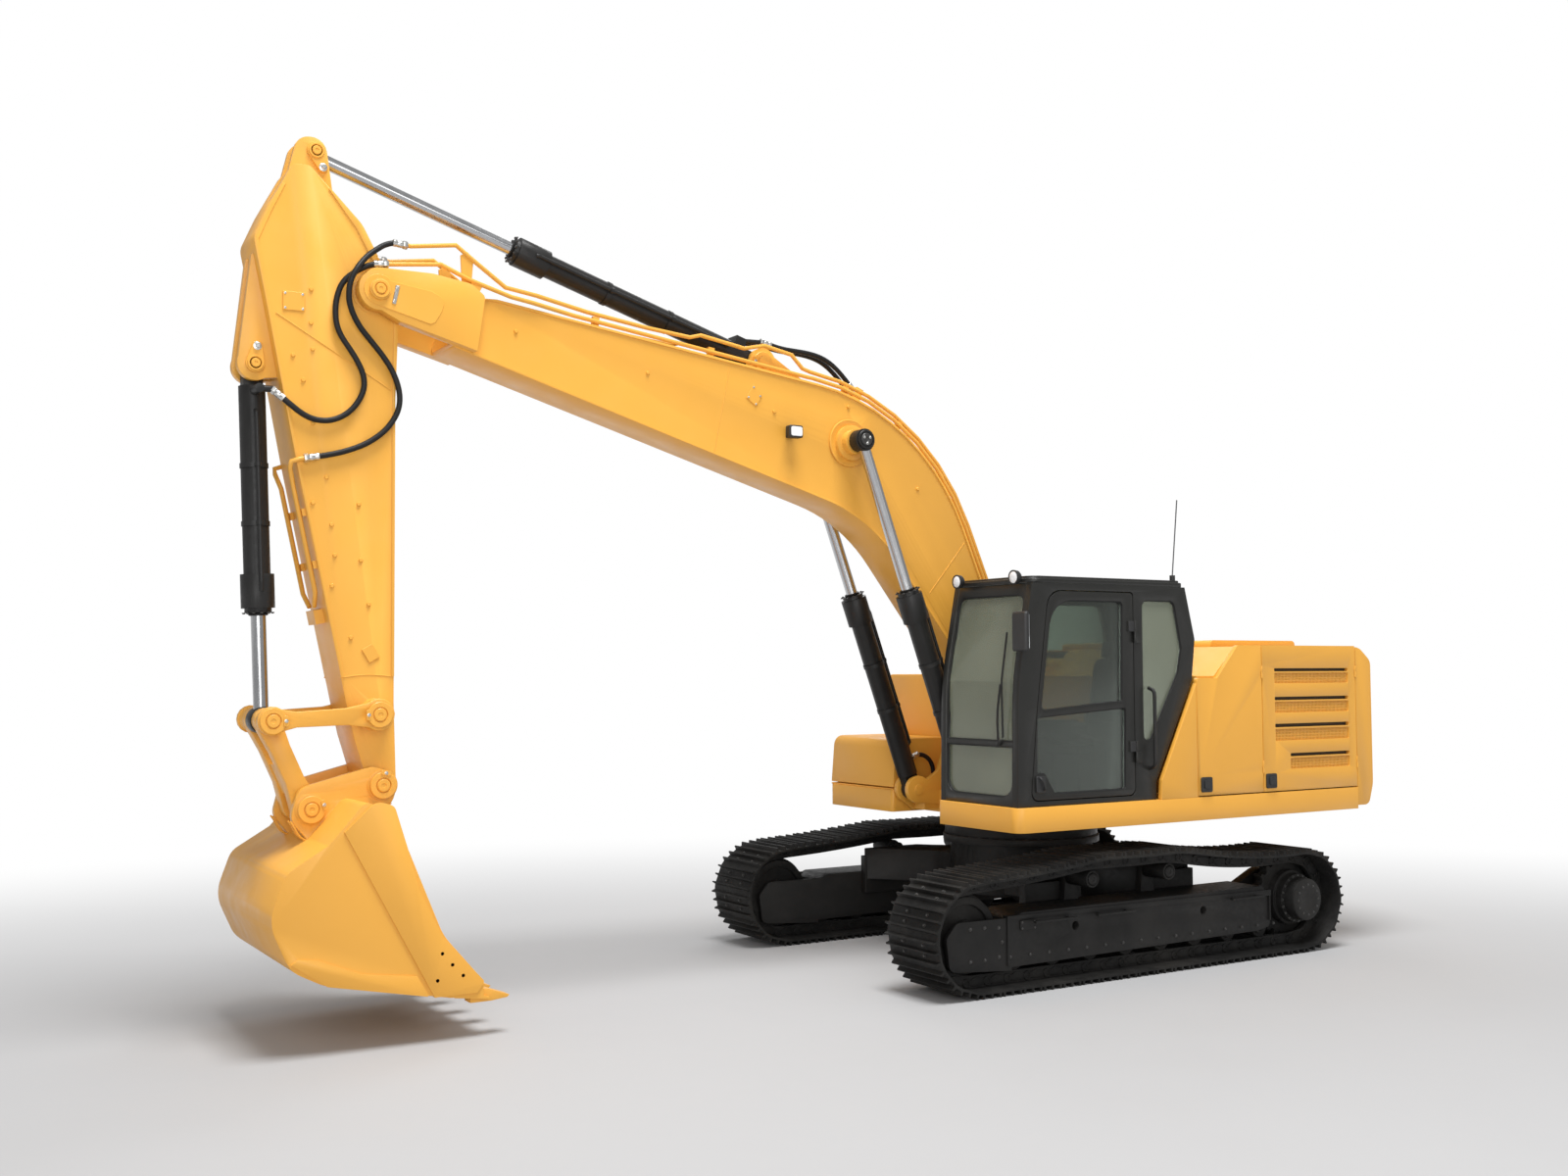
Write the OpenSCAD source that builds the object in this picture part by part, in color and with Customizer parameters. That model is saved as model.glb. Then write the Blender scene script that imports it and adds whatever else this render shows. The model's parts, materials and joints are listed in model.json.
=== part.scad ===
// Crawler excavator, 30 tonne class, in millimetres.
// X forward, Y to the cab side, Z up, drawn about the swing axis
// and moved so that the origin is the middle of the footprint.

/* [Tracks] */
// distance between the middles of the two tracks
gauge = 2590; // [2000:5:3200]
// width of a shoe
shoe_w = 600; // [400:5:900]
// idler axle, forward of the swing axis
idler_x = 1720; // [1200:5:2400]
// sprocket axle, behind the swing axis
sprocket_x = -1740; // [-2400:5:-1200]
// radius of the pin line round idler and sprocket
wrap_r = 340; // [250:1:450]
// shoes in one track
shoe_count = 48; // [30:1:60]
// height of the grouser bars over the shoe plate
grouser_h = 32; // [15:1:60]
// lower rollers on one side
roller_count = 8; // [5:1:10]

/* [Upper frame] */
// half of the width over the skirts
house_hw = 1480; // [1200:5:1700]
// underside of the deck
deck_z = 1131; // [1000:1:1300]
// height of the deck and its skirts
deck_h = 184; // [120:1:260]
// front edge of the cab platform
deck_front = 1270; // [1000:5:1600]
// depth of the counterweight at its middle
weight_depth = 575; // [400:5:900]
// radius of the tail round the swing axis
tail_r = 3100; // [2800:5:3600]
// top of the side doors
door_top = 2530; // [2200:5:2800]
// thickness of the side doors
door_t = 40; // [20:1:80]
// joint between the two left doors
door_seam = -1350; // [-1600:5:-1100]

/* [Cab] */
// inner side of the cab, beside the boom
cab_y0 = 508; // [480:1:600]
// outer side of the cab
cab_y1 = 1445; // [1300:1:1480]
// front face at the sill
cab_front_x = 1240; // [1000:5:1300]
// rear face at the roof
cab_rear_x = -615; // [-800:5:-400]
// top of the cab roof
cab_top = 3045; // [2800:5:3200]
// thickness of the cab walls
cab_t = 60; // [30:1:100]
// hinge line of the cab door
cab_hinge_x = 50; // [-100:1:200]

/* [Boom] */
// boom foot pin, forward of the swing axis
foot_x = 250; // [100:5:500]
// boom foot pin above the ground
foot_z = 2000; // [1700:5:2300]
// pin to pin length
boom_len = 6152; // [5000:2:7000]
// angle of the pin line over the horizontal in the photo
boom_angle = 27.8; // [-40:0.1:60]
// half of the width of the boom box
boom_hw = 205; // [150:1:300]

/* [Stick] */
// pin to pin length
stick_len = 3270; // [2500:5:4000]
// angle of the pin line in the photo
stick_angle = -91.1; // [-130:0.1:-10]
// half of the width of the stick box
stick_hw = 190; // [140:1:260]
// length of the rocker arms
rocker_len = 681; // [500:1:800]
// angle of the rocker in the photo
rocker_angle = -2.4; // [-60:0.1:60]

/* [Bucket] */
// half of the width over the side plates
bucket_hw = 745; // [500:5:900]
// distance between the two bucket pins
bucket_pins = 482; // [350:1:600]
// angle of the line between the bucket pins
bucket_angle = -16.3; // [-120:0.1:60]
// teeth along the cutting edge
tooth_count = 5; // [3:1:7]

/* [Cylinders] */
// boom cylinders off the middle
boom_cyl_y = 390; // [360:1:450]
// boom cylinder base pin, forward
boom_cyl_x = 860; // [700:5:1000]
// boom cylinder base pin, height
boom_cyl_z = 1330; // [1200:5:1500]
// radius of a cylinder barrel
barrel_r = 84; // [60:1:120]
// radius of a cylinder collar
collar_r = 106; // [70:1:140]
// radius of a cylinder rod
rod_r = 47; // [30:1:70]

/* [Hidden] */
// front face of the counterweight
tail_joint = weight_depth - tail_r;
$fn = 32;
gap = 0.3;
yellow = "#e8ad45";
dark = "#2b2a29";
steel = "#c9ccce";

// flat vectors and arcs
function unit(v) = v / norm(v);
function turn(p, a) = [p[0] * cos(a) - p[1] * sin(a), p[0] * sin(a) + p[1] * cos(a)];
function angle_of(v) = atan2(v[1], v[0]);
function wrap(a) = a > 180 ? a - 360 : a < -180 ? a + 360 : a;
function corner(p, q, s, r, n) =
  let (d1 = unit(p - q), d2 = unit(s - q), half = acos(d1 * d2) / 2,
       c = q + unit(d1 + d2) * r / sin(half), a0 = angle_of(q + d1 * r / tan(half) - c),
       da = wrap(angle_of(q + d2 * r / tan(half) - c) - a0))
  [for (i = [0:n]) c + r * [cos(a0 + da * i / n), sin(a0 + da * i / n)]];
// outline whose third value rounds that corner
function rounded(pts, n = 5) = let (k = len(pts)) [for (i = [0:k - 1])
  let (q = [pts[i][0], pts[i][1]], a = pts[(i + k - 1) % k], b = pts[(i + 1) % k])
  each (pts[i][2] == undef ? [q] : corner([a[0], a[1]], q, [b[0], b[1]], pts[i][2], n))];
function lerp(a, b, t) = a + (b - a) * t;
function arc(c, r, a0, a1, n) = [for (i = [0:n]) c + r * [cos(lerp(a0, a1, i / n)), sin(lerp(a0, a1,
  i / n))]];

// pins of the front linkage in the side plane
foot = [foot_x, foot_z];
nose = foot + turn([boom_len, 0], boom_angle);
boom_cyl_base = [boom_cyl_x, boom_cyl_z];
boom_cyl_top = foot + turn([2446, 1124], boom_angle);
stick_cyl_base = foot + turn([3367, 1310], boom_angle);
stick_cyl_top = nose + turn([-928, 360], stick_angle);
bucket_cyl_base = nose + turn([520, 760], stick_angle);
rocker_eye = [stick_len - 463, 29];
rocker_pin = nose + turn(rocker_eye, stick_angle);
bucket_pin = nose + turn([stick_len, 0], stick_angle);
link_top = rocker_pin + turn([rocker_len, 0], rocker_angle);
link_low = bucket_pin + turn([bucket_pins, 0], bucket_angle);
// bucket outline turns with its pin line, measured at -16.3
bucket_turn = bucket_angle + 16.3;

front_reach = bucket_cyl_base[0] + 100;
frame_x = (front_reach - tail_r) / 2;
deck_top = deck_z + deck_h;
track_y = gauge / 2;

// layers of the linkage across the machine
ear_in = stick_hw + 10;
ear_out = ear_in + 55;
arm_in = ear_out + 7;
arm_out = arm_in + 40;
fork_in = 72;

// slab in the side plane between two y values
module slab(pts, y0, y1) {
  translate([0, y1, 0]) rotate([90, 0, 0]) linear_extrude(y1 - y0) polygon(pts);
}
// the same slab on both sides of the middle plane
module slabs(pts, y0, y1) {
  slab(pts, y0, y1);
  slab(pts, -y1, -y0);
}
module rod_y(p, r, y0, y1) {
  translate([p[0], y1, p[1]]) rotate([90, 0, 0]) cylinder(r = r, h = y1 - y0);
}
module rods_y(p, r, y0, y1) {
  rod_y(p, r, y0, y1);
  rod_y(p, r, -y1, -y0);
}
module box(a, b) {
  translate(a) cube(b - a);
}
module in_boom() {
  translate([foot[0], 0, foot[1]]) rotate([0, -boom_angle, 0]) children();
}
module in_stick() {
  translate([nose[0], 0, nose[1]]) rotate([0, -stick_angle, 0]) children();
}
module in_bucket() {
  translate([bucket_pin[0], 0, bucket_pin[1]]) rotate([0, -bucket_turn, 0]) children();
}
// local Z runs from p towards q
module along(p, q, y = 0) {
  translate([p[0], y, p[1]]) rotate([0, 90 - angle_of(q - p), 0]) children();
}
// hose or bent pipe as an eight sided sweep along its points
module sweep(pts, r, n = 8) {
  k = len(pts);
  rings = [for (i = [0:k - 1])
    let (t = unit(pts[min(i + 1, k - 1)] - pts[max(i - 1, 0)]), a = unit(cross(t, [0.1, 1, 0.2])),
      b = cross(t, a))
    for (j = [0:n - 1]) pts[i] + r * (a * cos(360 * j / n) + b * sin(360 * j / n))];
  polyhedron(rings, concat(
    [[for (j = [0:n - 1]) j]], [[for (j = [n - 1:-1:0]) (k - 1) * n + j]],
    [for (i = [0:k - 2], j = [0:n - 1])
      [i * n + j, (i + 1) * n + j, (i + 1) * n + (j + 1) % n, i * n + (j + 1) % n]]));
}
// outline across the machine, carried along X
module pane(pts, x0, x1) {
  translate([x0, 0, 0]) rotate([90, 0, 90]) linear_extrude(x1 - x0) polygon(rounded(pts));
}
module both_sides() {
  children();
  mirror([0, 1, 0]) children();
}

// Hoses: routes chosen along what the machine shows, about the swing axis
hose_r = 19;
hose_upper = [[5520, 232, 5210], [5580, 232, 5212], [5640, 234, 5190], [5690, 240, 5155],
  [5750, 254, 5105], [5800, 276, 5050], [5840, 298, 4995], [5870, 302, 4940], [5888, 296, 4880],
  [5890, 285, 4820], [5880, 270, 4760], [5850, 255, 4690], [5800, 242, 4615], [5730, 230, 4540],
  [5655, 224, 4458], [5590, 222, 4370], [5545, 222, 4275], [5525, 222, 4180], [5535, 222, 4090],
  [5580, 222, 4000], [5650, 222, 3920], [5755, 222, 3845], [5875, 222, 3792], [6000, 222, 3755],
  [6120, 222, 3730]];
hose_lower = [[5660, 268, 5050], [5705, 266, 5045], [5755, 262, 5030], [5805, 254, 5003],
  [5852, 246, 4970], [5893, 238, 4932], [5925, 232, 4885], [5945, 228, 4830], [5958, 226, 4765],
  [5960, 224, 4690], [5948, 223, 4612], [5915, 222, 4540], [5865, 222, 4470], [5818, 222, 4400],
  [5782, 222, 4330], [5765, 222, 4258], [5775, 222, 4186], [5810, 222, 4115], [5862, 222, 4052],
  [5930, 222, 4005], [6012, 222, 3980], [6098, 222, 3985], [6175, 223, 4018], [6245, 224, 4068],
  [6295, 216, 4110], [6328, 203, 4140]];
stick_cylinder_hose = [[1735, 40, 4600], [1768, 40, 4638], [1813, 40, 4684], [1865, 40, 4732],
  [1925, 40, 4778], [1990, 40, 4814], [2060, 40, 4838], [2135, 40, 4852], [2215, 40, 4859],
  [2295, 40, 4862], [2375, 40, 4865], [2455, 40, 4874], [2525, 40, 4888], [2574, 40, 4896]];
boom_cylinder_hose = [[853, 390, 1599], [834, 391, 1606], [791, 394, 1615], [748, 398, 1614],
  [707, 402, 1600], [671, 407, 1577], [642, 411, 1546], [622, 415, 1507], [612, 418, 1451],
  [612, 420, 1400], [612, 420, 1355], [612, 420, 1316]];
module stick_hose_upper() color(dark) sweep(hose_upper, hose_r);
module stick_hose_lower() color(dark) sweep(hose_lower, hose_r);
module stick_hose_right() color(dark) sweep([for (p = hose_upper) [p[0], -p[1], p[2]]], hose_r);
module stick_cylinder_hose_left() color(dark) sweep(stick_cylinder_hose, hose_r);
module stick_cylinder_hose_right() color(dark) sweep([for (p = stick_cylinder_hose) [p[0], -p[1],
  p[2]]], hose_r);
module boom_cylinder_hose_left() color(dark) sweep(boom_cylinder_hose, hose_r);
module boom_cylinder_hose_right() color(dark) sweep([for (p = boom_cylinder_hose) [p[0], -p[1], p[2]]],
  hose_r);

// Tracks: the pin line round idler, carrier rollers and sprocket
run_z = grouser_h + 55;
axle_z = run_z + wrap_r;
carrier_z = 740;
carrier_x = [490, -320];
top_z = axle_z + wrap_r;
crown_z = 868;
function sag(a, b, za, zb, drop, x) = let (t = (x - a) / (b - a)) lerp(za, zb, t) - 4 * drop * t * (1 - t);
function run_top(x) = x > carrier_x[0] ? sag(idler_x, carrier_x[0], top_z, crown_z, 14, x)
  : x > carrier_x[1] ? sag(carrier_x[0], carrier_x[1], crown_z, crown_z, 8, x)
  : sag(carrier_x[1], sprocket_x, crown_z, top_z, 45, x);
pin_line = concat(
  [for (a = [-90:2:88]) [idler_x, axle_z] + wrap_r * [cos(a), sin(a)]],
  [for (i = [0:100]) let (x = lerp(idler_x, sprocket_x, i / 100)) [x, run_top(x)]],
  [for (a = [92:2:270]) [sprocket_x, axle_z] + wrap_r * [cos(a), sin(a)]]);
line_n = len(pin_line);
line_s = [for (i = 0, s = 0; i <= line_n;
  s = s + norm(pin_line[(i + 1) % line_n] - pin_line[i % line_n]), i = i + 1) s];
loop_len = line_s[line_n];
pitch = loop_len / shoe_count;
function find(s, lo, hi) = hi - lo <= 1 ? lo
  : let (m = floor((lo + hi) / 2)) line_s[m] > s ? find(s, lo, m) : find(s, m, hi);
function at(s) = let (i = find(s, 0, line_n), t = (s - line_s[i]) / (line_s[i + 1] - line_s[i]))
  lerp(pin_line[i], pin_line[(i + 1) % line_n], t);
pins = [for (k = [0:shoe_count - 1]) at(loop_len * k / shoe_count)];
// points of one shoe: along the link t from 0 to 1, outwards n
function shoe(k, tn) = let (a = pins[k], b = pins[(k + 1) % shoe_count], d = b - a, u = unit(d))
  [for (q = tn) a + d * q[0] + q[1] * [u[1], -u[0]]];
plate_n = 55;
bars = [0.1, 0.5, 0.9];
bar_n = plate_n + grouser_h;
shoe_out = [for (b = bars) each [[b - 0.06, plate_n], [b - 0.03, bar_n], [b + 0.03, bar_n], [b + 0.06,
  plate_n]]];
chain_y = 96;
chain_w = 44;
rail_n = -50;
function ring(tn) = [for (k = [0:shoe_count - 1]) each shoe(k, tn)];
module loop(out, inn, w) {
  rotate([90, 0, 0]) translate([0, 0, -w / 2]) linear_extrude(w) difference() {
    polygon(ring(out));
    polygon(ring(inn));
  }
}
module track_loop() {
  loop(shoe_out, [[0.15, plate_n - 16], [0.85, plate_n - 16]], shoe_w);
  for (s = [-1, 1]) translate([0, s * chain_y, 0])
    loop([[0.1, plate_n - 10], [0.9, plate_n - 10]], [[0.2, rail_n], [0.8, rail_n]], chain_w);
}
module track_left() color(dark) translate([0, track_y, 0]) track_loop();
module track_right() color(dark) translate([0, -track_y, 0]) track_loop();

// rail radius at the middle of a link on the wrap
rail_r = wrap_r * cos(asin(pitch / 2 / wrap_r)) + rail_n;
tread_hw = chain_y + chain_w / 2 + 1;
module idlers() color(dark) both_sides() difference() {
  union() {
    rod_y([idler_x, axle_z], rail_r - gap, track_y - tread_hw, track_y + tread_hw);
    rod_y([idler_x, axle_z], rail_r + 20, track_y - 66, track_y + 66);
    rod_y([idler_x, axle_z], 70, track_y - plate_in + gap, track_y + plate_in - gap);
  }
  // dished faces
  for (s = [-1, 1]) translate([idler_x, track_y + s * tread_hw, axle_z]) rotate([90, 0, 0]) difference() {
    cylinder(r = rail_r - 55, h = 70, center = true);
    cylinder(r = 110, h = 80, center = true);
  }
}
tooth_n = 21;
tooth_r = wrap_r - 2;
drive_r = 210;
drive_y = 150;
module sprockets() color(dark) both_sides() {
  translate([sprocket_x, track_y + 40, axle_z]) rotate([90, 0, 0]) linear_extrude(80)
    polygon([for (i = [0:tooth_n - 1], q = [[-0.34, -38], [-0.14, 0], [0.14, 0], [0.34, -38]])
      (tooth_r + q[1]) * [cos((i + q[0]) * 360 / tooth_n), sin((i + q[0]) * 360 / tooth_n)]]);
  // final drive: inner housing, bolted flange and outer cover
  rod_y([sprocket_x, axle_z], drive_r, track_y - drive_y, track_y - 30);
  rod_y([sprocket_x, axle_z], 225, track_y + 30, track_y + 110);
  rod_y([sprocket_x, axle_z], 200, track_y + 100, track_y + 175);
  rod_y([sprocket_x, axle_z], 172, track_y + 170, track_y + 270);
}
roller_r = 88;
roller_pin_r = 38;
roller_z = run_z - rail_n + gap + roller_r;
roller_xs = [for (i = [0:roller_count - 1]) lerp(1270, -1330, i / (roller_count - 1))];
frame_hw = 185;
side_t = 35;
plate_in = frame_hw - side_t;
module track_rollers() color(dark) both_sides() for (x = roller_xs) {
  rod_y([x, roller_z], roller_r, track_y - tread_hw, track_y + tread_hw);
  rod_y([x, roller_z], roller_pin_r, track_y - plate_in + gap, track_y + plate_in - gap);
}
carrier_r = 66;
module carrier_rollers() color(dark) both_sides() for (x = carrier_x) difference() {
  union() {
    rod_y([x, carrier_z], carrier_r, track_y - tread_hw, track_y + tread_hw);
    rod_y([x, carrier_z], 30, track_y - tread_hw - 6, track_y - tread_hw + 1);
  }
  rod_y([x, carrier_z], carrier_r - 18, track_y + tread_hw - 22, track_y + tread_hw + 5);
}
tie_hole = [[730, 420], [-620, 420]];
tie_r = 34;
tie_deep = 65;
steps = [[763, 1173], [174, 560], [-1248, -884]];
frame_back = -1385;
module track_frame() color(dark) {
  difference() {
    union() {
      // box beam with side plates that come down beside the rollers
      slab([[1360, 352], [1360, 520], [1250, 560], [-1300, 560], [frame_back, 480], [frame_back, 352]],
        track_y - frame_hw, track_y + frame_hw);
      for (s = [-1, 1]) translate([0, s * (frame_hw - side_t / 2) + track_y, 0]) {
        slab(rounded([[1395, 175], [1395, 535], [frame_back, 515, 30], [frame_back, 230, 40], [-1250,
          205]]),
          -side_t / 2, side_t / 2);
        slab(rounded([[1350, 150], [1350, 530], [1850, 535, 60], [1945, 430, 60], [1915, 190, 60]]),
          -side_t / 2, side_t / 2);
      }
      // edge of the outer plate: rail on top, posts at both ends
      slab([[1398, 522], [1398, 547], [frame_back - 3, 527], [frame_back - 3, 480]],
        track_y + plate_in - 2, track_y + frame_hw + 16);
      box([1380, track_y + frame_hw - 5, 190], [1398, track_y + frame_hw + 15, 530]);
      box([frame_back + 3, track_y + frame_hw - 5, 280], [frame_back + 17, track_y + frame_hw + 15, 500]);
      // mount of the final drive, inside the chain
      slab(rounded([[frame_back - 15, 300], [frame_back - 15, 540], [sprocket_x, 690, 200],
        [sprocket_x - 260, axle_z, 200],
        [sprocket_x, 170, 200]]), track_y - drive_y - 90, track_y - drive_y);
      slab([[frame_back + 80, 300], [frame_back + 80, 540], [frame_back - 40, 540], [frame_back - 40, 300]],
        track_y - drive_y - 90, track_y - plate_in);
      // brackets of the carrier rollers
      for (x = carrier_x)
        slab(rounded([[x - 75, 550], [x + 75, 550], [x + 50, carrier_z + 50, 45], [x - 50,
          carrier_z + 50, 45]]),
          track_y - frame_hw + 1, track_y - tread_hw - 6 - gap);
    }
    for (x = roller_xs) rod_y([x, roller_z], roller_pin_r + gap, track_y - plate_in, track_y + plate_in);
    // tie-down holes in the outer plate
    for (p = tie_hole) rod_y(p, tie_r, track_y + frame_hw - tie_deep, track_y + frame_hw + 50);
  }
  // steps on two lugs each
  for (x = steps) {
    slab([[x[0], 485], [x[0], 497], [x[1], 497], [x[1], 485]], track_y + frame_hw + 40,
      track_y + frame_hw + 72);
    for (e = [x[0] + 40, x[1] - 60])
      box([e, track_y + frame_hw - 1, 483], [e + 20, track_y + frame_hw + 60, 497.5]);
  }
}
module track_frame_left() track_frame();
module track_frame_right() mirror([0, 1, 0]) track_frame();

bearing_r = 660;
foot_y = track_y - 240;
module car_body() color(dark) difference() {
  union() {
    // crossed legs, each end widened to its foot
    translate([0, 0, 500]) linear_extrude(270) polygon(rounded([
      [480, 560, 150], [900, foot_y], [330, foot_y], [0, 640, 300], [-330, foot_y], [-900, foot_y],
        [-480, 560, 150],
      [-480, -560, 150], [-900, -foot_y], [-330, -foot_y], [0, -640, 300], [330, -foot_y], [900, -foot_y],
      [480, -560, 150]]));
    translate([0, 0, 480]) cylinder(r = 600, h = 470);
    translate([0, 0, 890]) cylinder(r = bearing_r, h = 60);
    both_sides() for (s = [-1, 1])
      box([s * 615 - 285, foot_y - 20, 380], [s * 615 + 285, track_y - frame_hw - gap, 700]);
  }
  translate([0, 0, 470]) cylinder(r = 330, h = 500);
}
module swing_bearing() color(dark) difference() {
  translate([0, 0, 950]) cylinder(r = bearing_r - 15, h = 85);
  translate([0, 0, 940]) cylinder(r = bearing_r - 130, h = 110);
}

// Upper frame
ear0 = 290;
ear1 = 338;
eye_hw = 46;
eye_gap = 6;
plate_t = 16;
skirt_t = 40;
cyl_ear_r = 115;
bay_y = cab_y0 + 5;
wall_x = -630;
wall_t = 12;
bracket = [[wall_x + 40, 1200], [640, 1200], [boom_cyl_x, boom_cyl_z - cyl_ear_r + 2],
  [boom_cyl_x - 84, boom_cyl_z + 76],
  [650, 1480, 80], [foot_x + 182, foot_z + 30], [foot_x, foot_z + 150], [foot_x - 170, foot_z + 75],
  [wall_x + 90, 1500, 80]];
outer_ear = [[612, 1150], [800, 1150, 30], [boom_cyl_x + 95, boom_cyl_z - 60], [boom_cyl_x,
  boom_cyl_z + 108],
  [boom_cyl_x - 88, boom_cyl_z + 70], [612, 1290]];
// door hinges lie in the outer faces: lower knuckle and pin on the frame, upper knuckle on the door
hinge_zs = [1480, 2260];
knuckle_r = 9;
knuckle_h = 50;
pin_r = 4;
seam_hinge = door_seam;
tail_hinge = tail_joint + 4;
module frame_leaf(x, side) for (z = hinge_zs) {
  translate([x, side * house_hw, z]) cylinder(r = knuckle_r, h = knuckle_h);
  translate([x, side * house_hw, z]) cylinder(r = pin_r, h = 2 * knuckle_h - 4);
  y = [side * house_hw, side * (house_hw - door_t - 10)];
  box([x - 3, min(y), z], [x + 3, max(y), z + knuckle_h]);
}
module door_leaf(x, side) for (z = hinge_zs) translate([x, side * house_hw,
  z + knuckle_h + gap]) difference() {
  cylinder(r = knuckle_r, h = knuckle_h);
  translate([0, 0, -1]) cylinder(r = pin_r + gap, h = knuckle_h + 2);
}
// room for the knuckles: only the lower one in the door that swings, both in what stays beside it
module leaf_room(x, side, own) for (z = hinge_zs)
  translate([x, side * house_hw, z - 3]) cylinder(r = knuckle_r + 4,
    h = own ? knuckle_h + 3 + gap : 2 * knuckle_h + 8);
module main_frame() color(yellow) difference() {
  union() {
    // deck plate with skirts, open below
    difference() {
      translate([0, 0, deck_z]) linear_extrude(deck_h) polygon(rounded([
        [deck_front, bay_y, 30], [deck_front, house_hw, 90], [tail_joint + gap, house_hw],
          [tail_joint + gap, -house_hw],
        [980, -house_hw, 60], [980, -bay_y, 30], [640, -bay_y], [640, bay_y]]));
      box([tail_joint + skirt_t, 700, deck_z - 10], [deck_front - skirt_t, house_hw - skirt_t,
        deck_top - plate_t]);
      box([tail_joint + skirt_t, -house_hw + skirt_t, deck_z - 10], [980 - skirt_t, -700,
        deck_top - plate_t]);
      box([tail_joint + skirt_t, -640, deck_z - 10], [-800, 640, deck_top - plate_t]);
      box([-500, -250, deck_z + 40], [560, 250, deck_top + 10]);
    }
    translate([0, 0, 1035 + gap]) cylinder(r = bearing_r, h = deck_z - 1025);
    // boom brackets, carried forward to the inner ears of the boom cylinders
    slabs(rounded(bracket), ear0, ear1);
    rods_y(foot, 190, ear0, ear1);
    rods_y(boom_cyl_base, cyl_ear_r, ear0, ear1);
    // outer ears on a block in front of the deck
    slabs(rounded(outer_ear), boom_cyl_y + eye_hw + eye_gap, boom_cyl_y + 100);
    rods_y(boom_cyl_base, cyl_ear_r, boom_cyl_y + eye_hw + eye_gap, boom_cyl_y + 100);
    for (s = [-1, 1]) box([618, s * boom_cyl_y - 80, 1155], [790, s * boom_cyl_y + 80, 1225]);
    // pins
    rods_y(boom_cyl_base, 45, ear0 - 8, boom_cyl_y + 112);
    rods_y(foot, 62, ear0 - 60, ear1 + 26);
  }
  translate([0, 0, 1020]) cylinder(r = bearing_r - 140, h = 130);
}
lift_r = 24;
lift_deep = 80;
lift_at = [tail_joint - 260, 700];
weight_z = [1160, 2520];
module counterweight() color(yellow) difference() {
  intersection() {
    rotate_extrude($fn = 96) polygon(rounded([[1900, weight_z[0]], [tail_r - 50, weight_z[0], 60],
      [tail_r, 1340, 300],
      [tail_r, weight_z[1] - 120, 90], [tail_r - 130, weight_z[1], 120], [1900, weight_z[1]]], 6));
    box([-4000, -house_hw, 1000], [tail_joint, house_hw, 3000]);
  }
  // sockets of the lifting eyes
  for (s = [-1, 1]) translate([lift_at[0], s * lift_at[1],
    weight_z[1] - lift_deep]) cylinder(r = lift_r, h = 200);
  // hollow towards the engine bay
  box([tail_joint - 300, -1050, 1700], [tail_joint + 50, 1050, 2400]);
  for (s = [-1, 1]) leaf_room(tail_hinge, s, false);
}
module engine_block() color(dark) {
  box([tail_joint + 225, -620, deck_top], [-1560, 620, 2200]);
  box([tail_joint + 305, -420, 2190], [-1640, 420, 2330]);
}
panel_in = house_hw - door_t - gap;
module bulkheads() color(yellow) {
  box([wall_x - wall_t, -500, deck_top], [wall_x, panel_in, 2265]);
  box([door_seam - 6, 760, deck_top], [door_seam + 6, panel_in, 2440]);
  box([tail_joint + gap, 500, deck_top], [tail_joint + wall_t, panel_in, 2440]);
  box([tail_joint + gap, -panel_in, deck_top], [tail_joint + wall_t, -500, 2440]);
  frame_leaf(seam_hinge, 1);
  for (s = [-1, 1]) frame_leaf(tail_hinge, s);
}
module side_panel() color(yellow)
  slab(rounded([[-185, deck_top], [-588, deck_top], [-588, 2225], [-196, 1465, 40]]),
    house_hw - door_t, house_hw);
shelf_z = 2265;
cover_z = door_top - 10;
hood_x = [tail_joint + 50, -1405];
hood_y = [-1015, 875];
hood_h = 65;
rim = 25;
hood_hinge = [hood_x[0] - 11, cover_z + 12];
hood_hinge_ys = [-800, 600];
hood_knuckle = 60;
module top_cover() color(yellow) {
  difference() {
    slab([[wall_x, shelf_z], [wall_x, shelf_z + plate_t], [-830, shelf_z + plate_t], [-1075, cover_z],
      [tail_joint + gap, cover_z], [tail_joint + gap, cover_z - plate_t], [-1070, cover_z - plate_t],
        [-838, shelf_z]],
      -panel_in, panel_in);
    box([hood_x[0] + rim, hood_y[0] + rim, 2000], [hood_x[1] - rim, hood_y[1] - rim, 3000]);
    box([-1205, -2000, 2000], [0, -540, 3000]);
  }
  for (y = hood_hinge_ys) {
    rod_y(hood_hinge, knuckle_r, y, y + hood_knuckle);
    rod_y(hood_hinge, pin_r, y, y + 2 * hood_knuckle - 4);
    box([hood_hinge[0] - knuckle_r, y, cover_z - 2], [hood_hinge[0] + 6, y + hood_knuckle, hood_hinge[1]]);
  }
}
module engine_hood() color(yellow) difference() {
  union() {
    difference() {
      slab(rounded([[hood_x[0], cover_z + gap], [hood_x[0], cover_z + hood_h, 40], [hood_x[1],
        cover_z + hood_h, 40],
        [hood_x[1], cover_z + gap]]), hood_y[0], hood_y[1]);
      box([hood_x[0] + 15, hood_y[0] + 15, 2300], [hood_x[1] - 15, hood_y[1] - 15, cover_z + hood_h - 15]);
    }
    for (y = hood_hinge_ys) {
      rod_y(hood_hinge, knuckle_r, y + hood_knuckle + gap, y + 2 * hood_knuckle);
      box([hood_hinge[0], y + hood_knuckle + gap, hood_hinge[1] - 6], [hood_x[0] + 5,
        y + 2 * hood_knuckle, hood_hinge[1] + 6]);
    }
  }
  for (y = hood_hinge_ys) rod_y(hood_hinge, pin_r + gap, y, y + 2 * hood_knuckle + 5);
}
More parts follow.
